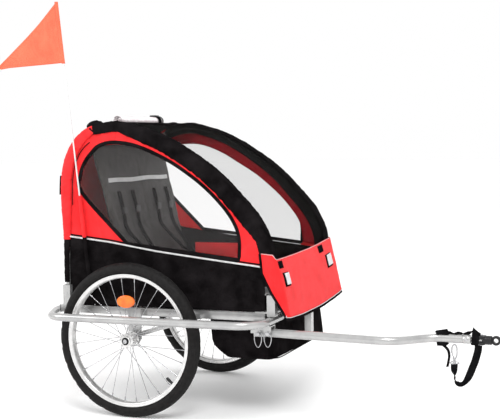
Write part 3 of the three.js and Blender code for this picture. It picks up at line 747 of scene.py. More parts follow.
def cross_tube(node, x):
    """A round tube between the rails, with a weld bead at each end."""
    line = split_long([P(x, -269.5, 326), P(x, 269.5, 326)])
    made = pipe(node + "_round", line, 11, "steel", "base_frame", sides=24)
    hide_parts(node)

    def bead(i, r, h):
        return 0.3 * math.sin(i * 1.9) if r > 12 else 0

    for word, side in SIDES:
        lathe(f"{node}_weld_{word}", [
            (10.6, 0), (14.2, 0), (13.6, 1.2), (12.4, 2.4), (11.2, 3.6), (10.6, 3.6)],
            P(x, 269.8 * side, 326), (0, -side, 0), "steel", "base_frame", 60, bead)


for word, side in SIDES:
    bumper(word, side)
    rail(word, side)
for node, x in (("rear_cross_tube", -275), ("axle_cross_tube", 0), ("front_cross_tube", 424)):
    cross_tube(node, x)

HOOP_POINTS = ((-252, 366), (-252, 450), (-250, 580), (-254, 700), (-243, 795), (-206, 866), (-146, 908),
               (-70, 922), (-14, 912), (83, 880), (177, 829), (270, 764), (345, 691), (404, 623),
               (440, 550), (450, 480), (458, 425), (460, 400), (460, 366))
HOOP = even(smoothed([Vector((x, 0, z)) for x, z in HOOP_POINTS], 12), 241)


def hoop_at(share, out=0.0):
    """The (x, z) of a point on the hoop's line, at a share of its length, moved outwards."""
    place = clamped(share) * (len(HOOP) - 1)
    k = min(int(place), len(HOOP) - 2)
    p = HOOP[k].lerp(HOOP[k + 1], place - k)
    a, b = HOOP[max(k - 2, 0)], HOOP[min(k + 3, len(HOOP) - 1)]
    along = (b - a).normalized()
    return p.x - along.z * out, p.z + along.x * out


def on_hoop(share, out, y):
    """The same in space, at a distance from the middle line."""
    x, z = hoop_at(share, out)
    return P(x, y, z)


for word, side in SIDES:
    line = [on_hoop(share, 0, HOOP_Y * side) for share in steps(0, 1, 150)]
    made = pipe("hoop_tube_" + word, line, 8.5, "steel", word + "_side_frame", sides=20)
    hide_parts("side_hoop_" + word)

spreader = pipe("spreader_bar_tube", split_long([P(-197, -272, 838), P(-197, 272, 838)]), 8.6, "steel",
                "spreader_bar", sides=20)
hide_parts("top_spreader_bar")
for word, side in SIDES:
    lathe("spreader_plug_" + word, [
        (0, -14), (9.4, -14), (9.8, -13), (9.8, -2), (9, -0.4), (4, 0), (0, 0)],
        P(-197, 272 * side, 838), (0, side, 0), "plastic", "spreader_bar")

# ---- Drawbar and hitch ----------------------------------------------------------

bend = interpolate_bezier(P(790, -296, 275), P(868, -297, 273.6), P(892, -219, 276), P(960, -218, 278), 24)
bar_line = split_long([P(414, -292, 281), *bend, P(1048, -217, 278)], 0.04)
bar = pipe("drawbar_round_tube", bar_line, DRAWBAR_RADIUS, "steel", "drawbar", sides=32)
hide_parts("drawbar_tube")
plug("drawbar_plug_rear", bar_line[0], (-1, 0, 0), DRAWBAR_RADIUS, "drawbar")


def tongue():
    """The flat steel tongue with a round end and its hole, closing the tube."""
    arc = [(1078 + 9 * math.cos(a), HITCH_Y + 9 * math.sin(a)) for a in steps(-math.pi / 2, math.pi / 2, 24)]
    outer = [(1038, -226), *arc, (1038, -208)]
    hole = [(1078 + 3.4 * math.cos(a), HITCH_Y + 3.4 * math.sin(a)) for a in turns(20)]
    cut_cloth("drawbar_tongue", outer, [hole], lambda x, y: P(x, y, HITCH_Z), "steel", 6.0, 7.4, "drawbar")
    rings = [(13, 1024, 0), (13.9, 1024.4, 0), (14, 1043, 0), (13.2, 1046, 0.1), (11, 1049, 0.35),
             (9, 1051, 0.5), (0, 1052, 0.5)]
    verts = [P(x, HITCH_Y + r * math.cos(a), HITCH_Z + r * (1 - squeeze) * math.sin(a))
             for r, x, squeeze in rings for a in turns(40)]
    data = outward(mesh_of("drawbar_swaged_end", verts, row_faces(len(rings), 40)))
    link("drawbar_swaged_end", data, "steel", "drawbar")
    lathe("tongue_rivet", [(0, 0), (4.2, 0), (4.2, 1.2), (3.2, 2.2), (0, 2.8)],
          P(1036, HITCH_Y - 13.6, HITCH_Z), (0, -1, 0), "bright", "drawbar", 30)


tongue()


def quick_pin(word, node, ring_node, x, head, body, ring_body):
    """A headed pin with a spring ball, and the wire ring that pulls it."""
    face_y = -311.5
    pin = lathe(word + "_quick_pin", [
        (0, -43.5), (3.4, -43.5), (4.5, -41), (4.5, 0), (7.4, 0.2), (7.5, 1), (7.5, 3.4), (6.6, 4.2),
        (6.6, head - 1.4), (5.8, head - 0.3), (4, head), (0, head)],
        P(x, face_y, 281), (0, -1, 0), "bright", body)
    lathe(word + "_pin_ball", [(0, -1.2), (1.2, -0.4), (1.3, 0.6), (0.6, 1.2), (0, 1.4)],
          P(x, face_y + 40, 285.5), (0, 0, 1), "bright", body, 16)
    loop = [P(x + dx, face_y - head + 4.5, 280 + dz) for dx, dz in (
        (0, 0), (8, -1.5), (11.5, -8), (11, -20), (7, -33), (0, -40), (-7, -33), (-11, -20), (-11.5, -8),
        (-8, -1.5))]
    line = even(smoothed(loop + loop[:1])[:-1], 60)
    ring = pipe(word + "_wire_ring", line, 1.3, "bright", ring_body, closed=True, sides=10)
    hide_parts(node)
    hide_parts(ring_node)


quick_pin("hinge", "drawbar_hinge_pin", "hinge_pin_pull_ring", 425, 18, "drawbar_hinge_pin", "hinge_pin_ring")
quick_pin("lock", "drawbar_lock_pin", "lock_pin_pull_ring", 453, 9, "drawbar_lock_pin", "lock_pin_ring")


def cheek(name, z0, z1, dome):
    """One rounded cheek of the coupler's fork. dome is 1 upwards, -1 downwards."""
    half = [(1090, 13.2), (1080, 13.2), (1071, 11.2), (1066.5, 6.5), (1065.4, 0)]
    outline = half + [(x, -y) for x, y in reversed(half[:-1])]
    levels = ((0.93, z0), (1, z0 + 0.6 * dome), (1, z1 - 2.4 * dome), (0.95, z1 - 0.8 * dome), (0.82, z1))
    verts = [P(1080 + (x - 1080) * scale, HITCH_Y + y * scale, z) for scale, z in levels for x, y in outline]
    faces = row_faces(len(levels), len(outline)) + end_faces(len(levels), len(outline))
    return link(name, outward(mesh_of(name, verts, faces)), "plastic", "hitch_coupler")


def hitch():
    """The moulded fork that swings on the tongue, and the eye that rolls in its end."""
    top = cheek("coupler_cheek_top", 283.2, 291.4, 1)
    cheek("coupler_cheek_bottom", 272.8, 264.6, -1)
    lathe("coupler_body", [
        (0, -8), (12.4, -8), (13.4, -7), (13.4, 2), (12.8, 3), (12.8, 4.2), (13.4, 5), (13.4, 8), (12.8, 9),
        (12.8, 10.2), (13.4, 11), (13.4, 15), (12.4, 17), (10.6, 18), (5.6, 18), (5.6, 12), (0, 12)],
        at_hitch(1092, HITCH_Z), (1, 0, 0), "plastic", "hitch_coupler", 48)
    lathe("coupler_pivot_bolt", [
        (0, -16), (5.2, -16), (5.6, -15), (5.6, -13.4), (3, -13), (3, 13), (5.8, 13.2), (5.8, 15.4),
        (4.6, 16.6), (2.4, 17), (0, 16.4)], at_hitch(1078, HITCH_Z), (0, 0, 1), "bright", "hitch_coupler", 36)
    eye_centre = at_hitch(1121, HITCH_Z)
    eye = lathe("hitch_eye_ring", [
        (6.7, -6.4), (7.3, -7), (12.6, -7), (13.8, -5.8), (14, -4), (14, 4), (13.8, 5.8), (12.6, 7), (7.3, 7),
        (6.7, 6.4)], eye_centre, (0, 1, 0), "plastic", "hitch_eye", 64)
    lathe("hitch_eye_shank", [
        (0, -25), (5, -25), (5, -16.4), (9.4, -16), (10, -15.2), (10, -12.8), (9.2, -12), (6.4, -11.4),
        (5.4, -8.6), (4.6, -8), (0, -8)], eye_centre, (1, 0, 0), "plastic", "hitch_eye")
    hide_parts("hitch_coupler")
    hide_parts("hitch_eye")


hitch()


def tongue_wrap():
    """A turn of webbing round the tongue, standing highest at its rear edge."""
    name, rings, count, half, skew = "tongue_webbing_wrap", 13, 28, 11, 3.0
    verts = []
    for grow in (0.0, 2.0):
        for t in steps(0, 1, rings - 1):
            x = 1052 + 21 * t
            for a in turns(count):
                up = math.sin(a)
                reach = 18 + 16 * (1 - t) ** 1.3 if up > 0 else 15
                wave = 1 + 0.03 * ripple(x, 30 * a, 0, 0.12, skew)
                tall = math.copysign((reach + grow) * abs(up) ** 0.7, up)
                verts.append(P(x + skew * up, HITCH_Y + (half + grow) * math.cos(a) * wave, HITCH_Z + tall))
    layer = rings * count
    faces = row_faces(rings, count) + row_faces(rings, count, first=layer)
    for a in (0, layer - count):
        for k in range(count):
            q = (k + 1) % count
            faces.append((a + k, a + q, layer + a + q, layer + a + k))
    link(name, outward(mesh_of(name, verts, faces)), "webbing", "drawbar")


def hitch_webbing():
    """The strap's pads on the drawbar, the twisted strap to the tongue and the loose tail."""
    pads = {"top": [(945, 298), (977, 304), (985, 291), (974, 289), (950, 288)],
            "bottom": [(949, 267), (974, 268), (983, 261), (976, 256), (951, 256)]}
    for word, outline in pads.items():
        cut_cloth("drawbar_pad_" + word, fine(outline, 5), [], at_hitch, "webbing", 6, 20, "drawbar")
    line = curve([P(*p) for p in (
        (972, -217, 293), (988, -215, 293.4), (1006, -219, 294), (1024, -216, 294.4), (1040, -218, 296),
        (1054, -217, 303))], 60)
    strap("twisted_top_strap", line, 11, 2.4, lambda i: Vector((0, math.cos(i * 0.16), math.sin(i * 0.16))),
          "drawbar")
    tail = curve([P(*p) for p in (
        (964, -217, 258), (975, -218, 251), (982.5, -217, 240), (984.5, -217, 224), (982, -217, 208),
        (979, -217, 193))], 30)
    strap("strap_tail", tail, 12, 2.2, Vector((0.5, 1, 0.15)), "drawbar")


tongue_wrap()
hitch_webbing()

# ---- Fabric sides ---------------------------------------------------------------

WINDOW = [(-25, 548), (-181, 705), (-188, 759), (-172, 801), (-148, 830), (-118, 854), (-63, 863), (17, 849),
          (109, 810), (180, 768), (250, 715), (310, 654), (343, 603), (354, 560), (353, 506)]
FAR_OPENING = [(-170, 850), (-111, 856), (-34, 855), (45, 829), (123, 785), (200, 736), (276, 671),
               (328, 612), (354, 566), (364, 505)]
PIPING = [(-239, 565), (-227, 563), (-94, 549), (77, 522), (266, 500), (438, 481)]


def along(loop, x):
    """The height of a line of (x, z) points at x."""
    for (x0, z0), (x1, z1) in zip(loop, loop[1:]):
        if x <= x1:
            return z0 + (z1 - z0) * (x - x0) / (x1 - x0)
    return loop[-1][1]


def grown(loop, out):
    """A closed outline moved outwards."""
    n = len(loop)
    middle = Vector((sum(p[0] for p in loop) / n, sum(p[1] for p in loop) / n))
    made = []
    for k in range(n):
        a, b, c = (Vector(loop[(k + d) % n]) for d in (-1, 0, 1))
        normal = Vector(((c - a).y, -(c - a).x)).normalized()
        if normal.dot(b - middle) < 0:
            normal = -normal
        made.append(tuple(b + normal * out))
    return made


def sheet_area(obj):
    """Half the surface of a thin sheet, which is the area of its cloth."""
    return sum(f.area for f in obj.data.polygons) / 2


def declare(obj, flat, held, *rests_on):
    """Works out the smaller of a sheet's cloth area and its flat size in metres, and keeps nothing. held, how
    it is held, is not used. rests_on, the pieces it rests on, is not used.
    """
    min(sheet_area(obj), flat[0] * flat[1])


def tape(name, points, width, thick, material, body, wobble=0.0, closed=False):
    """Flat tape lying in an upright side, along points made by P()."""
    section = [(t, w) for w, t in flat(width, thick)]
    waves = [wobble * ripple(p.x / MM, 0, p.z / MM, 0.05, 3.0) for p in points]
    line = [p + Vector((0, wave * MM, 0)) for p, wave in zip(points, waves)]
    return pipe(name, line, 0, material, body, closed, section=section, side=Vector((0, 1, 0)))


def on_side(side, out, amount, scale):
    """Places (x, z) on a side of the cabin, out from the middle line, with soft waves."""
    def place(x, z):
        wave = ripple(x, 0, z, scale, side + 2.0) + 0.4 * ripple(x, 0, z, scale * 3.1, side + 5.0)
        return P(x, side * (out + amount * wave), z)
    return place


def rounded_line(loop):
    """A smooth line of (x, z) points through an outline's corners."""
    return [(p.x, p.z) for p in smoothed([Vector((x, 0, z)) for x, z in loop], 4)]


def fabric_side(name, side):
    """One side of the cabin: red cloth, window, bindings, inner band and the black lower side."""
    body = name + "_side_frame"
    hoop_tube = "hoop_tube_" + name
    hole = fine(rounded_line(WINDOW))
    arc = [hoop_at(share, -1.5) for share in steps(0, 1, 160)]
    arc = [p for p in arc if p[1] > along(PIPING, min(max(p[0], -239), 438)) + 1]
    rear = [p for p in arc if p[0] < -50] + rounded_line(WINDOW[:7] + [(-50, 862)])[::-1]
    rear += [(x, along(PIPING, x)) for x in (-16, -60, -110, -160, -205, -238)]
    front = [p for p in arc if p[0] > -63] + [(x, along(PIPING, x)) for x in (437, 400, 352)]
    front += rounded_line(WINDOW[6:])[::-1]
    for tag, outline, out, size in (("rear", rear, -0.7, (0.24, 0.38)), ("front", front, 0.0, (0.67, 0.155))):
        red = cut_cloth(f"side_red_{tag}_{name}", fine(outline, 12), [],
                        on_side(side, PANEL_Y + out, 1.0, 0.018), "red_cloth", 9, 1.3, body)
        declare(red, size, "stretched", hoop_tube)
        if tag == "rear":
            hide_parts("side_panel_" + name)

    film = cut_cloth("side_window_" + name, grown(hole, 3.0), [], on_side(side, PANEL_Y - 0.9, 2.2, 0.011),
                     "window", 11, 0.4, body)
    declare(film, (0.58, 0.4), "stretched", "side_red_rear_" + name)
    for tag, out, thick in (("", 1.4, 2.0), ("inner_", -2.0, 1.4)):
        edge = [P(x, side * (PANEL_Y + out), z) for x, z in grown(hole, 4.6)]
        tape(f"window_binding_{tag}{name}", edge, 11.5, thick, "black_cloth", body, 0.5, True)
    # On the far side only, a darker red sheet just inside the red cloth: painted shade for the cabin's shaded
    # inside.
    if side > 0:
        rim_line = [hoop_at(share, -3) for share in steps(0, 1, 160)]
        rim_line = [p for p in rim_line if p[0] > -150 and p[1] > along(PIPING, min(p[0], 438)) + 6]
        lining = cut_cloth("inner_valance_" + name, fine(rim_line + rounded_line(FAR_OPENING)[::-1], 12), [],
                           on_side(side, PANEL_Y - 5.5, 1.2, 0.02), "shaded_red", 9, 1.2, body)
        declare(lining, (0.68, 0.19), "hung", hoop_tube)

    belt = []
    for share in steps(0.37, 0.93, 56):
        deep = (26 if side > 0 else 22) + 16 * clamped((share - 0.5) / 0.3)
        edges = [hoop_at(share, -deep * t) for t in (0, 0.25, 0.5, 0.75, 1)]
        belt.append([P(x, side * (PANEL_Y - 8.2 + 0.8 * ripple(x, 0, z, 0.05, 3.0)), z) for x, z in edges])
    cloth_grid("inner_band_" + name, belt, "black_cloth", body)

    foot = 346.5
    outline = [(x, along(PIPING, x) + 2) for x in range(-238, 442, 8)]
    outline += [(441, 402), (440, 399), (440, foot), (-232, foot), (-232, 404), (-238, 409)]
    skirt = cut_cloth("lower_side_" + name, fine(outline), [], on_side(side, PANEL_Y - 0.4, 3.2, 0.014),
                      "black_cloth", 10, 1.3)
    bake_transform(skirt)
    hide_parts("side_skirt_" + name)
    declare(skirt, (0.68, 0.22), "hung", "side_red_rear_" + name, "square_rail_" + name)
    for tag, out, up, width, thick, material in (
            ("side_piping_", 2.2, 0, 5.6, 2.4, "piping"),
            ("piping_seam_", 1.3, 6.4, 5.0, 1.6, "black_cloth")):
        line = [P(x, side * (PANEL_Y + out), along(PIPING, x) + up) for x in range(-236, 437, 14)]
        tape(tag + name, even(line, 70), width, thick, material, body, 1.0)
    hem = even([P(x, side * (PANEL_Y + 0.8), foot + 3) for x in range(-230, 429, 14)], 60)
    tape("lower_side_hem_" + name, hem, 9, 2.2, "black_cloth", "base_frame", 0.6)


def wrap(name, side, shares, section, amount, scale, material, seed):
    """Cloth wrapped round the hoop. section(share) gives (out, y) points from the side's face to the roof."""
    rows = []
    travelled = 0.0
    for i, share in enumerate(shares):
        spots = section(share)
        if i:
            travelled += math.dist(hoop_at(shares[i - 1]), hoop_at(share))
        row = []
        across = 0.0
        for k, (out, y) in enumerate(spots):
            before, after = spots[max(k - 1, 0)], spots[min(k + 1, len(spots) - 1)]
            normal = Vector((before[1] - after[1], after[0] - before[0])).normalized()
            if k:
                across += math.dist(spots[k - 1], spots[k])
            run = travelled + 0.55 * across
            fold = ripple(run, across * 0.25, 0, scale, seed + side)
            fold += 0.6 * ripple(run, across * 0.3, 40, scale * 2.4, seed - side)
            fold = max(fold, -0.4) * (1 - 0.65 * min(1, across / 45))
            row.append(on_hoop(share, out + normal.x * fold * amount, side * (y + normal.y * fold * amount)))
        rows.append(row)
    return cloth_grid(name, rows, material, ("right" if side < 0 else "left") + "_side_frame", 1.6)


def band_section(share):
    """Over the tube: the band's lower edge, up the outside, over the top and in to the roof."""
    wide = 0.5 + 0.5 * clamped((share - 0.375) / 0.03)
    spread = 0.56 + 0.5 * max(0, share - 0.55)
    wide *= 1 + spread * clamped((share - 0.46) / 0.06) * clamped((0.87 - share) / 0.05)
    return [(-21.5 * wide, 299.6), (-17 * wide, 301), (-10 * wide, 301.6), (-3, 301.6), (4, 300.6),
            (8.6, 297.6), (11.4, 292.6), (12.6, 286.5), (12.4, 280), (11.8, 273), (10.9, 264), (10.2, 254),
            (9.6, 246)]


def sleeve_section(share):
    """Round the rear post: its inner edge on the side, round the outside and in to the back."""
    full = clamped((share - 0.10) / 0.10)
    inner = -12 - 14 * full * clamped((0.40 - share) / 0.06)
    outer = 11.5 + 3.5 * full
    return [(inner, 299.4), (inner * 0.8, 302.4), (inner * 0.5, 303.4), (inner * 0.2, 303.6), (4, 302.8),
            (outer * 0.72, 299.4), (outer * 0.93, 294.4), (outer, 288), (outer * 0.97, 281),
            (outer * 0.84, 274.5), (outer * 0.68, 268.5), (8.2, 262)]


def foot_section(share):
    """The sleeve's black foot, a little tighter than the sleeve."""
    return [(out * 0.9, y - 0.6) for out, y in sleeve_section(share)]


def gathered_end(name, side):
    """The black cloth bunched at the band's top end."""
    lump = []
    for t in steps(0, 1, 30):
        x = -168 + 58 * t
        swell = math.sin(math.pi * (0.06 + 0.88 * t)) ** 0.5
        ring = []
        for a in turns(28):
            r = swell * (1 + 0.16 * ripple(x, a * 9, 0, 0.13, 2.0 + side))
            y = 285 + 12 * r * math.cos(a)
            z = 919 + 16 * t * (1 - t) + 4 * t + 13 * r * math.sin(a)
            ring.append(P(x, side * y, z))
        lump.append(ring)
    cloth_grid("band_gathered_end_" + name, lump, "black_cloth", name + "_side_frame", 1.6, True)


for word, side in SIDES:
    body = word + "_side_frame"
    hoop_tube = "hoop_tube_" + word
    fabric_side(word, side)
    band = wrap("roof_band_cloth_" + word, side, steps(0.378, 0.93, 230), band_section, 5.0, 0.07,
                "black_cloth", 4.0)
    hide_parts("roof_band_" + word)
    declare(band, (0.95, 0.09), "gathered", hoop_tube)
    sleeve = wrap("rear_sleeve_" + word, side, steps(0.125, 0.392, 190), sleeve_section, 3.4, 0.075,
                  "red_cloth", 9.0)
    declare(sleeve, (0.46, 0.09), "gathered", hoop_tube)
    # A thin black tape along the sleeve's inner edge: painted shadow where the sleeve stands off the red
    # side.
    seam = [on_hoop(share, -33, side * 302.2) for share in steps(0.2, 0.372, 59)]
    tape("sleeve_edge_shadow_" + word, seam, 3.4, 1.6, "black_cloth", body, 0.8)
    foot = wrap("rear_sleeve_foot_" + word, side, steps(0.032, 0.128, 60), foot_section, 1.6, 0.07,
                "black_cloth", 2.0)
    declare(foot, (0.17, 0.085), "gathered", hoop_tube)
    rows = [[on_hoop(share, 15.6, side * y) for y in steps(281, 300, 5)] for share in steps(0.222, 0.262, 11)]
    cloth_grid("rear_webbing_patch_" + word, rows, "webbing", body, 2.4)

for word, side in SIDES:
    gathered_end(word, side)

for word, side in SIDES:
    line = [on_hoop(share, 0, HOOP_Y * side) for share in steps(0.375, 0.93, 149)]
    pipe("hoop_inner_cover_" + word, line, 10.3, "black_cloth", word + "_side_frame", sides=20)

# ---- Cabin fabric ---------------------------------------------------------------

SEAM = 0.46
ROOF_HALF = 264
HOOP_LENGTH = 1496


def span(name, start, end, steps_along, steps_across, place, material, thick=1.4):
    """A sheet between the hoops. place(share, t) says how far it stands out; t runs from -1 to 1 across."""
    rows = [[on_hoop(share, place(share, t), t * ROOF_HALF) for t in steps(-1, 1, steps_across)]
            for share in steps(start, end, steps_along)]
    return squash(cloth_grid(name, rows, material, "base_frame", thick))


def roof_place(share, t):
    """The roof sags between the hoops and wrinkles a little."""
    middle = clamped((share - 0.345) / (SEAM - 0.345))
    sag = 12 * (1 - t * t) ** 0.8 * math.sin(math.pi * middle) ** 0.5
    return 8.6 - sag + 3.4 * ripple(share * 900, t * 60, 0, 0.03, 7.0) * (1 - abs(t) ** 6)


def screen_place(share, t):
    """The screen is drawn tight, slightly hollow in its middle."""
    return 8.6 - 4.5 * (1 - t * t) * math.sin(math.pi * clamped((share - SEAM) / 0.45))


def rear_place(share, t):
    """The back waves gently."""
    return 7.6 + 5 * (1 - t * t) * ripple(share * 900, t * 90, 0, 0.012, 3.0)


roof = span("roof_cloth", 0.343, SEAM + 0.002, 40, 66, roof_place, "black_cloth")
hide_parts("roof_panel")
declare(roof, (0.55, 0.2), "stretched", "roof_band_cloth_right", "roof_band_cloth_left")
screen = span("front_screen_mesh", SEAM, 0.905, 64, 44, screen_place, "screen", 0.9)
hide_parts("front_screen")
declare(screen, (0.55, 0.69), "stretched", "roof_band_cloth_right", "roof_band_cloth_left")
rear = span("rear_cloth_upper", 0.128, 0.345, 40, 52, rear_place, "red_cloth")
declare(rear, (0.55, 0.38), "stretched", "rear_sleeve_right", "rear_sleeve_left")
rear = span("rear_cloth_lower", 0.002, 0.13, 30, 52, rear_place, "black_cloth")
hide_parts("rear_panel")
declare(rear, (0.55, 0.21), "stretched", "rear_cloth_upper")


def strip_across(name, share, width, material, out, thick=2.2, reach=ROOF_HALF):
    """A sewn strip from hoop to hoop."""
    half = width / HOOP_LENGTH / 2
    rows = [[on_hoop(place, out, y) for y in steps(-reach, reach, 59)]
            for place in steps(share - half, share + half, 4)]
    squash(cloth_grid(name, rows, material, "base_frame", thick))


strip_across("screen_top_binding", SEAM + 0.002, 16, "black_cloth", 10.4)
strip_across("rear_piping", 0.129, 7, "piping", 10.8, 1.6)
strip_across("rear_reflective_strip", 0.215, 20, "piping", 13.4, 1.2, 200)
strip_across("rear_zip_cover", 0.315, 22, "black_cloth", 11.6, 3.0, 250)
hem_rows = [[P(-259.6 + 1.5 * ripple(y, z, 0, 0.02, 4.0), y, z) for y in steps(-ROOF_HALF, ROOF_HALF, 59)]
            for z in steps(316, 372, 9)]
cloth_grid("rear_hem", hem_rows, "black_cloth", "base_frame", 1.8)

# ---- Front flap -----------------------------------------------------------------

REAR_EDGE = [(432, 524), (436, 463), (461, 410), (507, 337)]
FLAP_HALF = 306.5
FLAP_TURN = 12
FLAP_FLAT = FLAP_HALF - FLAP_TURN
WING = 0.12
CORNER = 0.04


def apron_point(u, v, out=0.0):
    """A point of the flap. u runs from the right wing's edge round to the left one's, v from top to bottom.
    The flap hangs a little skewed: its right corner stands further forward than its left one."""
    side = -1 if u < 0.5 else 1
    w = u if u < 0.5 else 1 - u
    k = min(int(v * 3), 2)
    (x0, z0), (x1, z1) = REAR_EDGE[k:k + 2]
    edge_x = x0 + (x1 - x0) * (v * 3 - k)
    edge_z = z0 + (z1 - z0) * (v * 3 - k)
    skew = 6 if side < 0 else -13
    corner_x, corner_z = 474 + 43 * v, 521 - 190 * v
    if w < WING:
        t = w / WING
        start_x = edge_x + skew * v
        x = start_x + (corner_x + skew - FLAP_TURN - start_x) * t
        y = FLAP_HALF
        z = edge_z + (corner_z - edge_z) * t
        nx, ny = 0.0, 1.0
    elif w < WING + CORNER:
        a = (w - WING) / CORNER * math.pi / 2
        nx, ny = math.sin(a), math.cos(a)
        x, y, z = corner_x + skew - FLAP_TURN + FLAP_TURN * nx, FLAP_FLAT + FLAP_TURN * ny, corner_z
    else:
        y = FLAP_FLAT * (1 - (w - WING - CORNER) / (0.5 - WING - CORNER))
        x, z = corner_x - 3.5 + (skew + 3.5) * y / FLAP_FLAT, corner_z
        nx, ny = 1.0, 0.0
    left = (side * y / FLAP_HALF + 1) / 2
    bow = 4 * left * (1 - left)
    dip = clamped((w - WING - 0.004) / 0.02) * (1 - v) * (14 * (1 - left) ** 1.2 + 7 * bow)
    dip += v * (10 * bow - 6 * left ** 3)
    front = 4 * (1 - (y / FLAP_HALF) ** 4) * math.sin(math.pi * min(1, v * 1.1))
    out += 2.2 * ripple(u * 600, v * 200, 0, 0.014, 1.0) + 0.8 * ripple(u * 600, v * 200, 0, 0.05, 6.0)
    return P(x + (front + out) * nx, side * (y + out * ny), z - dip)


def apron_sheet(name, material, out, top, bottom, thick, steps_down, steps_across):
    """The flap's cloth or its lining, from one height share to another."""
    rows = [[apron_point(u, v, out) for u in steps(0, 1, steps_across)]
            for v in steps(top, bottom, steps_down)]
    return squash(cloth_grid(name, rows, material, "base_frame", thick))


apron = apron_sheet("front_flap", "red_cloth", 0.0, 0.0, 1.0, 1.6, 24, 120)
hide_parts("front_apron")
declare(apron, (0.78, 0.2), "stretched", "front_cross_tube_round")
lining = apron_sheet("front_flap_lining", "black_cloth", -4.0, 0.02, 1.035, 1.4, 16, 80)
declare(lining, (0.78, 0.21), "stretched", "front_flap")


def flap_edge(name, line, radius, material, flatten=1.0):
    """Piping or a hem along an edge of the flap."""
    section = [(a, b * flatten) for a, b in circle(radius, 12)]
    squash(pipe(name, line, 0, material, "base_frame", section=section))


flap_edge("flap_bottom_piping", [apron_point(u, 0.996, 1.2) for u in steps(0, 1, 149)], 1.1, "piping")
flap_edge("flap_top_piping", [apron_point(u, 0.006, 1.0) for u in steps(0, 1, 149)], 0.8, "piping")
for word, u in (("right", 0.004), ("left", 0.996)):
    flap_edge("flap_side_piping_" + word, [apron_point(u, v, 1.0) for v in steps(0, 1, 49)], 0.8, "red_cloth")
    behind = Vector((-6, 0, -2)) * MM
    flap_edge("flap_side_hem_" + word, [apron_point(u, v, -3.5) + behind for v in steps(0, 1.02, 49)], 5.0,
              "black_cloth", 0.5)
flap_edge("flap_bottom_hem", [apron_point(u, 1.035, -2.5) for u in steps(0, 1, 149)], 3.4, "black_cloth")


def flap_u(y):
    """Where along the flap a place across the front lies."""
    start = WING + CORNER
    w = start + (1 - abs(y) / FLAP_FLAT) * (0.5 - start)
    return w if y < 0 else 1 - w


def flap_patch(name, y, v, wide, tall, material, out, thick):
    """A rounded patch lying on the front of the flap."""
    rows = []
    for across_v in steps(-0.5, 0.5, 8):
        row = []
        for across_u in steps(-0.5, 0.5, 12):
            edge = max(abs(across_u), abs(across_v)) * 2
            crown = (1 - edge ** 6) * 0.8
            place_y = min(max(y + across_u * wide, -303), 303)
            flat_y = min(max(place_y, -294), 294)
            point = apron_point(flap_u(flat_y), v + across_v * tall / 195, out + crown)
            back = max(0, abs(place_y) - 294) ** 1.2 * 0.35
            row.append(Vector((point.x - back * MM, place_y * MM, point.z)))
        rows.append(row)
    squash(cloth_grid(name, rows, material, "base_frame", thick))


for word, tab_y, plate_y, wide in (("right", -280, -256, 34), ("left", 152, 222, 52)):
    flap_patch("flap_black_tab_" + word, tab_y, 0.10, wide, 24, "webbing", 1.4, 1.8)
    flap_patch("flap_plate_back_" + word, plate_y - 5, 0.36, wide + 14, 46, "webbing", 1.6, 1.6)
    flap_patch("flap_reflective_plate_" + word, plate_y + 2, 0.35, wide + 4, 38, "bright_print", 3.4, 1.6)

# ---- Floor and footwell bag -----------------------------------------------------

floor_rows = []
for x in steps(-261, 236, 40):
    row = []
    for y in steps(-246, 246, 48):
        sag = 2.0 * (1 - (y / 246) ** 2) * abs(math.sin(math.pi * (x + 262) / 262))
        row.append(P(x, y, 310.6 - sag + 0.6 * ripple(x, y, 0, 0.03, 2.0)))
    floor_rows.append(row)
floor = cloth_grid("floor_cloth", floor_rows, "black_cloth", "base_frame", 1.8)
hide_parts("floor_and_footwell")
declare(floor, (0.5, 0.5), "stretched", "rear_cross_tube_round", "axle_cross_tube_round")


def bag_ring():
    """A square loop with rounded corners, as (cos, sin, reach) once round."""
    return [(math.cos(a), math.sin(a), (abs(math.cos(a)) ** 14 + abs(math.sin(a)) ** 14) ** (-1 / 14))
            for a in turns(96)]


def footwell_bag():
    """A sagging fabric well: rounded loops from its top hem down to its bottom."""
    profile = [(1.0, 313, 224, 441), (1.0, 306, 225, 442), (1.0, 290, 227, 445), (1.0, 266, 229, 449),
               (0.995, 240, 231, 453), (0.985, 222, 236, 456), (0.98, 206, 252, 457.5),
               (0.975, 194, 268, 457.8), (0.97, 188, 277, 457.4), (0.955, 185.6, 281, 455),
               (0.8, 185.2, 300, 440), (0.5, 186.6, 330, 414), (0.2, 187, 358, 388), (0.02, 187, 368, 378)]
    rows = []
    for share, z, x0, x1 in profile:
        row = []
        for c, s, reach in bag_ring():
            y = 247.5 * share * s * reach
            lean = 19 * clamped((300 - z) / 90) * (1 - y / 250) / 2
            x = (x0 + x1 - lean) / 2 + (x1 - x0 - lean) / 2 * c * reach
            soft = 2.0 * ripple(x, y, z, 0.02, 8.0) * (1 if 188 < z < 305 else 0.3)
            row.append(P(x + soft * c, y + soft * s, z))
        rows.append(row)
    bag = cloth_grid("footwell_bag", rows, "black_cloth", "base_frame", 1.6, True)
    declare(bag, (0.95, 0.52), "hung", "floor_cloth")
    for word, z, x0, x1, share in (("top", 311, 223.4, 442.4, 1.004), ("bottom", 191, 274, 457.5, 0.962)):
        loop = [P((x0 + x1) / 2 + (x1 - x0) / 2 * c * reach, 247.5 * share * s * reach, z)
                for c, s, reach in bag_ring()]
        pipe("bag_seam_" + word, loop, 1.7, "black_cloth", "base_frame", closed=True, sides=8)


footwell_bag()

# ---- Seat -----------------------------------------------------------------------

PUFF_VOXEL = 0.005
PUFF_FRAMES = 20


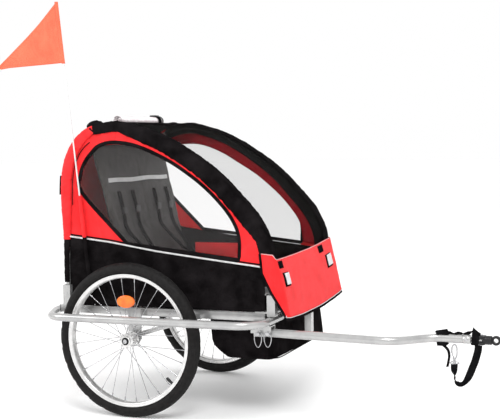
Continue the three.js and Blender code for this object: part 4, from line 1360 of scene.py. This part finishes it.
def puff(obj, pressure, cap):
    """Swells a closed mesh with the cloth simulation, keeping every point within a cap of where it was."""
    mesh = obj.modifiers.new("remesh", "REMESH")
    mesh.mode = "VOXEL"
    mesh.voxel_size = PUFF_VOXEL
    mesh.use_smooth_shade = True
    final(obj)
    start = [v.co.copy() for v in obj.data.vertices]
    cloth = obj.modifiers.new("cloth", "CLOTH")
    cloth.settings.use_pressure = True
    cloth.settings.uniform_pressure_force = pressure
    cloth.settings.effector_weights.gravity = 0
    cloth.settings.quality = 4
    cloth.settings.mass = 0.3
    cloth.collision_settings.use_collision = False
    scene = bpy.context.scene
    for frame_number in range(1, PUFF_FRAMES + 1):
        scene.frame_set(frame_number)
    moved = obj.evaluated_get(bpy.context.evaluated_depsgraph_get())
    ends = [v.co.copy() for v in moved.data.vertices]
    obj.modifiers.clear()
    for v, a, b in zip(obj.data.vertices, start, ends):
        step = b - a
        if step.length > cap:
            step = step.normalized() * cap
        v.co = a + step
    scene.frame_set(1)
    smooth = obj.modifiers.new("smooth", "SMOOTH")
    smooth.factor = 0.5
    smooth.iterations = 3
    finer = obj.modifiers.new("soft", "SUBSURF")
    finer.levels = finer.render_levels = 1
    final(obj)
    obj.data.shade_smooth()
    return obj


def pad(name, start, end, half, thick, columns, rows, channels):
    """A closed quilted slab with pinched edges and sewn channels.
    start and end: the (x, z) of its middle line. half: its half widths there. channels: shares sewn down."""
    (x0, z0), (x1, z1) = start, end
    way = Vector((x1 - x0, z1 - z0)).normalized()
    normal = Vector((-way.y, way.x))
    verts = []
    for face in (1, -1):
        for v in steps(0, 1, rows):
            reach = half[0] + (half[1] - half[0]) * v ** 0.7
            for u in steps(-1, 1, columns):
                crown = (1 - abs(u) ** 8) * (1 - abs(2 * v - 1) ** 8)
                for c in channels:
                    crown *= 1 - 0.72 * math.exp(-((v - c) * 90) ** 2 / 6)
                crown *= 1 - 0.6 * math.exp(-(u * reach / 7) ** 2)
                lift = thick * (0.5 + 0.5 * max(crown, 0)) * face / 2
                lift += 1.6 * ripple(u * reach, v * 300, 0, 0.018, 5.0)
                x = x0 + (x1 - x0) * v + normal.x * lift
                z = z0 + (z1 - z0) * v + normal.y * lift
                verts.append(P(x, u * reach, z))
    n, m = rows + 1, columns + 1
    layer = n * m
    faces = row_faces(n, m, ring=False) + row_faces(n, m, ring=False, first=layer)
    for k in (0, m - 1):
        for a in range(k, k + layer - m, m):
            faces.append((a, a + m, layer + a + m, layer + a))
    for i in (0, layer - m):
        for a in range(i, i + m - 1):
            faces.append((a, a + 1, layer + a + 1, layer + a))
    return link(name, outward(mesh_of(name, verts, faces)), "seat_cloth")


back = pad("seat_backrest", (-74, 452), (-175, 868), (248, 262), 13, 90, 70, (0.32, 0.66))
puff(back, 3.5, 0.007)
BACK_FACE = BVHTree.FromPolygons([v.co for v in back.data.vertices],
                                 [list(f.vertices) for f in back.data.polygons])
cushion = pad("seat_cushion", (-76, 416), (196, 414), (254, 254), 20, 90, 48, (0.5,))
puff(cushion, 4.0, 0.008)
for obj, node, fill in ((back, "seat_back", 0.45), (cushion, "seat_base", 0.6)):
    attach(obj, "base_frame")
    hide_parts(node)
    squash(obj)


def on_back(y, share, out):
    """A place in front of the backrest's own surface, so that what is sewn on lies on the cloth."""
    way = Vector((0.97, 0, 0.24)).normalized()
    start = P(-74 - 101 * share, y, 452 + 416 * share) + way * 0.08
    hit = BACK_FACE.ray_cast(start, -way)[0]
    return (hit if hit else start - way * 0.072) + way * out * MM


stripe_rows = [[on_back(y, share + 0.003 * math.sin(y / 38), 1.4) for y in steps(-222, 214, 89)]
               for share in steps(0.672, 0.706, 5)]
squash(cloth_grid("backrest_white_stripe", stripe_rows, "white_print", "base_frame", 0.8))


def harness(middle):
    """One seat's belts: two shoulder straps, two lap straps, a crotch strap and a centre buckle."""
    tag = "right" if middle < 0 else "left"
    for k, off in enumerate((-48, 48)):
        line = [on_back(middle + off, share, 3) for share in (0.6, 0.52, 0.42, 0.3)]
        line += [P(-28, middle + off * 0.55, 505), P(12, middle + off * 0.22, 466)]
        squash(strap(f"shoulder_strap_{tag}_{k}", curve(line, 40), 24, 2.2, Vector((0, 1, 0))))
        lap = [P(x, middle + off * apart, z) for x, apart, z in (
            (-66, 2.1, 440), (-34, 1.7, 442), (-4, 0.8, 446), (14, 0.2, 450))]
        squash(strap(f"lap_strap_{tag}_{k}", curve(lap, 30), 22, 2.2, Vector((0.3, 0.2, 1))))
        low = on_back(middle + off - 15, 0.42, 1.5)
        high = on_back(middle + off + 15, 0.42, 7) + Vector((0, 0, 0.022))
        squash(block(f"strap_slider_{tag}_{k}", low, high, "plastic", "base_frame", 1.2))
    squash(block("harness_buckle_" + tag, P(2, middle - 20, 446), P(26, middle + 20, 470), "plastic",
                 "base_frame", 5, 5))
    crotch = [P(x, middle, z) for x, z in ((58, 426), (50, 438), (30, 448), (20, 452))]
    squash(strap("crotch_strap_" + tag, even(smoothed(crotch, 5), 20), 22, 2.2, Vector((0, 1, 0))))


harness(-128)
harness(128)

pocket_rows = []
for z in steps(438, 494, 15):
    row = []
    for x in steps(-58, 120, 39):
        belly = 7 * math.sin(math.pi * (x + 58) / 178) * math.sin(math.pi * (z - 436) / 70)
        row.append(P(x, 292 - belly + ripple(x, 0, z, 0.03, 3.0), z))
    pocket_rows.append(row)
pocket = cloth_grid("inside_red_pocket", pocket_rows, "red_cloth", "left_side_frame")
declare(pocket, (0.19, 0.062), "hung", "lower_side_left")

# ---- Rolled rain cover ----------------------------------------------------------

ROLL_TURNS = 5.4
ROLL_X = -92
ROLL_Z = 937


def rain_roll():
    """The rolled cover as one long spiral, with the two ties that hold it."""
    rows = []
    for y in steps(-225, 78, 45):
        row = []
        for share in [k / 299 for k in range(0, 300, 2)]:
            a = 2 * math.pi * ROLL_TURNS * share
            r = 3.2 + 13.2 * share
            r *= 1 + 0.09 * ripple(y, a * 14, 0, 0.022, 3.0) * (r / 16)
            r += 0.5 * ripple(y, a * 30, 0, 0.08, 1.0)
            row.append(P(ROLL_X + r * math.cos(a) * 1.03, y + 0.5 * r * ripple(0, a * 10, 0, 0.1, 2.0),
                         ROLL_Z + r * math.sin(a) * 0.95))
        rows.append(row)
    roll = cloth_grid("rain_cover_rolled", rows, "vinyl", "base_frame", 0.7)
    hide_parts("rain_cover_roll")
    area = sheet_area(roll)
    declare(squash(roll), (0.31, area / 0.3), "folded", "roof_cloth")
    for k, (y, width) in enumerate(((52, 22), (74, 7))):
        loop = [P(ROLL_X + 18.6 * math.cos(a), y + 0.6 * math.sin(3 * a), ROLL_Z + 18 * math.sin(a))
                for a in turns(48)]
        tie = pipe(f"rain_cover_tie_{k}", loop, 0, "webbing", "base_frame", closed=True,
                   section=flat(width, 2.2), side=Vector((0, 1, 0)))
        squash(tie)
        if k == 0:
            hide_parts("rain_cover_strap")
            squash(block("rain_cover_buckle_0", P(-108, 38, 951), P(-84, 66, 959), "plastic",
                         "base_frame", 2.4))


rain_roll()

# ---- Flag -----------------------------------------------------------------------

POLE_Y = -306


def pole_at(z):
    """The leaning flag pole's axis at a height."""
    share = (z - 344) / (1322 - 344)
    return P(-155 - 103 * share, POLE_Y, z)


pole = pipe("flag_pole_rod", split_long([pole_at(352), pole_at(1322)], 0.06), 2.6, "white_pole", "flag_pole",
            sides=20)
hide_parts("flag_pole")

rows = []
for z in steps(345, 697, 89):
    ring = []
    for a in turns(24):
        r = 5.6 + 0.8 * ripple(z, a * 20, 0, 0.11, 5.0)
        ring.append(pole_at(z) + Vector((r * math.cos(a) * 1.15, r * math.sin(a) * 0.95, 0)) * MM)
    rows.append(ring)
sleeve = cloth_grid("flag_sleeve_cloth", rows[55:], "red_cloth", "base_frame", 1.1, True)
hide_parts("flag_sleeve")
lower = cloth_grid("flag_sleeve_lower", rows[:56], "black_cloth", "base_frame", 1.1, True)
for obj in (sleeve, lower):
    declare(obj, (0.04, 0.22), "gathered", "flag_pole_rod")


def flag_point(u, v):
    """A point of the three-cornered flag. u runs from the pole to the tip, v from the upper edge down."""
    top, low = 1320 - 203 * u, 1125 - 11 * u
    z = top + (low - top) * v
    near = (pole_at(z).x - AXLE_X) / MM - 3
    x = near + (-484 - near) * u
    wave = 5 * math.sin(u * 5.2 + v * 1.1) * u ** 0.8 + 1.6 * ripple(x, 0, z, 0.02, 4.0) * u
    return P(x, POLE_Y + wave, z)


def flag():
    """The flag, the pocket that slips over the pole, and two sewn hems."""
    rows = [[flag_point(u, v) for u in steps(0, 1, 48)] for v in steps(0, 1, 36)]
    obj = cloth_grid("flag_cloth", rows, "orange", "flag_pole", 0.6)
    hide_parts("flag")
    hem = []
    for z in steps(1123, 1321, 59):
        ring = []
        for a in turns(20):
            wide = 3.9 + 0.4 * ripple(z, a * 9, 0, 0.1, 1.0)
            ring.append(pole_at(z) + Vector((-2.2 + 5.8 * math.cos(a), wide * math.sin(a), 0)) * MM)
        hem.append(ring)
    pocket = cloth_grid("flag_hem_pocket", hem, "orange", "flag_pole", 0.6, True)
    for name, v0, v1 in (("upper", 0.03, 0.03), ("lower", 0.975, 0.9)):
        line = [flag_point(u, v0 + (v1 - v0) * u) for u in steps(0.02, 0.97, 59)]
        tape(f"flag_{name}_hem", line, 6.5, 1.5, "orange", "flag_pole")


flag()

# ---- CAD pieces that keep their shape --------------------------------------------

STEEL_NODES = [f"{piece}_bracket_{word}" for piece in ("front", "rear", "hub") for word, _ in SIDES]
STEEL_NODES += ["drawbar_receiver", "front_wheel_socket"]
BOLT_NODES = [f"hinge_bolt_{end}_{word}" for end in ("front", "rear") for word, _ in SIDES]

for node in STEEL_NODES + BOLT_NODES:
    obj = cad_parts[node]
    obj.data.materials.clear()
    obj.data.materials.append(MATERIALS["bright" if node in BOLT_NODES else "steel"])
    edges = obj.modifiers.new("edges", "BEVEL")
    edges.width = 0.0008
    edges.segments = 3
    edges.limit_method = "ANGLE"

# ---- Floor and light -------------------------------------------------------------

LIGHTS = (("key", (1.2, -2.6, 3.4), 1.6, 80), ("fill", (-3.0, -2.4, 2.4), 2.0, 45),
          ("back", (0.5, 3.2, 2.6), 3.0, 30))


def studio():
    """A plain pale floor, a white world and three soft lights aimed at the trailer."""
    bm = bmesh.new()
    bmesh.ops.create_grid(bm, x_segments=8, y_segments=8, size=40)
    data = bpy.data.meshes.new("studio_floor")
    bm.to_mesh(data)
    bm.free()
    floor_obj = bpy.data.objects.new("studio_floor", data)
    bpy.context.scene.collection.objects.link(floor_obj)
    mat = bpy.data.materials.new("studio_floor")
    mat.use_nodes = True
    main = mat.node_tree.nodes["Principled BSDF"]
    main.inputs["Base Color"].default_value = (0.95, 0.95, 0.95, 1)
    main.inputs["Roughness"].default_value = 0.9
    main.inputs["Emission Color"].default_value = (1, 1, 1, 1)
    main.inputs["Emission Strength"].default_value = 0.06
    data.materials.append(mat)
    world = bpy.data.worlds.new("studio")
    world.use_nodes = True
    background = world.node_tree.nodes["Background"]
    background.inputs["Color"].default_value = (1, 1, 1, 1)
    background.inputs["Strength"].default_value = 1.0
    bpy.context.scene.world = world
    for name, place, size, power in LIGHTS:
        light = bpy.data.lights.new(name, "AREA")
        light.shape = "DISK"
        light.size = size
        light.energy = power
        obj = bpy.data.objects.new(name, light)
        obj.location = place
        obj.rotation_euler = (Vector((0, 0, 0.5)) - Vector(place)).to_track_quat("-Z", "Y").to_euler()
        bpy.context.scene.collection.objects.link(obj)
    bpy.context.scene.view_settings.view_transform = "Standard"


studio()
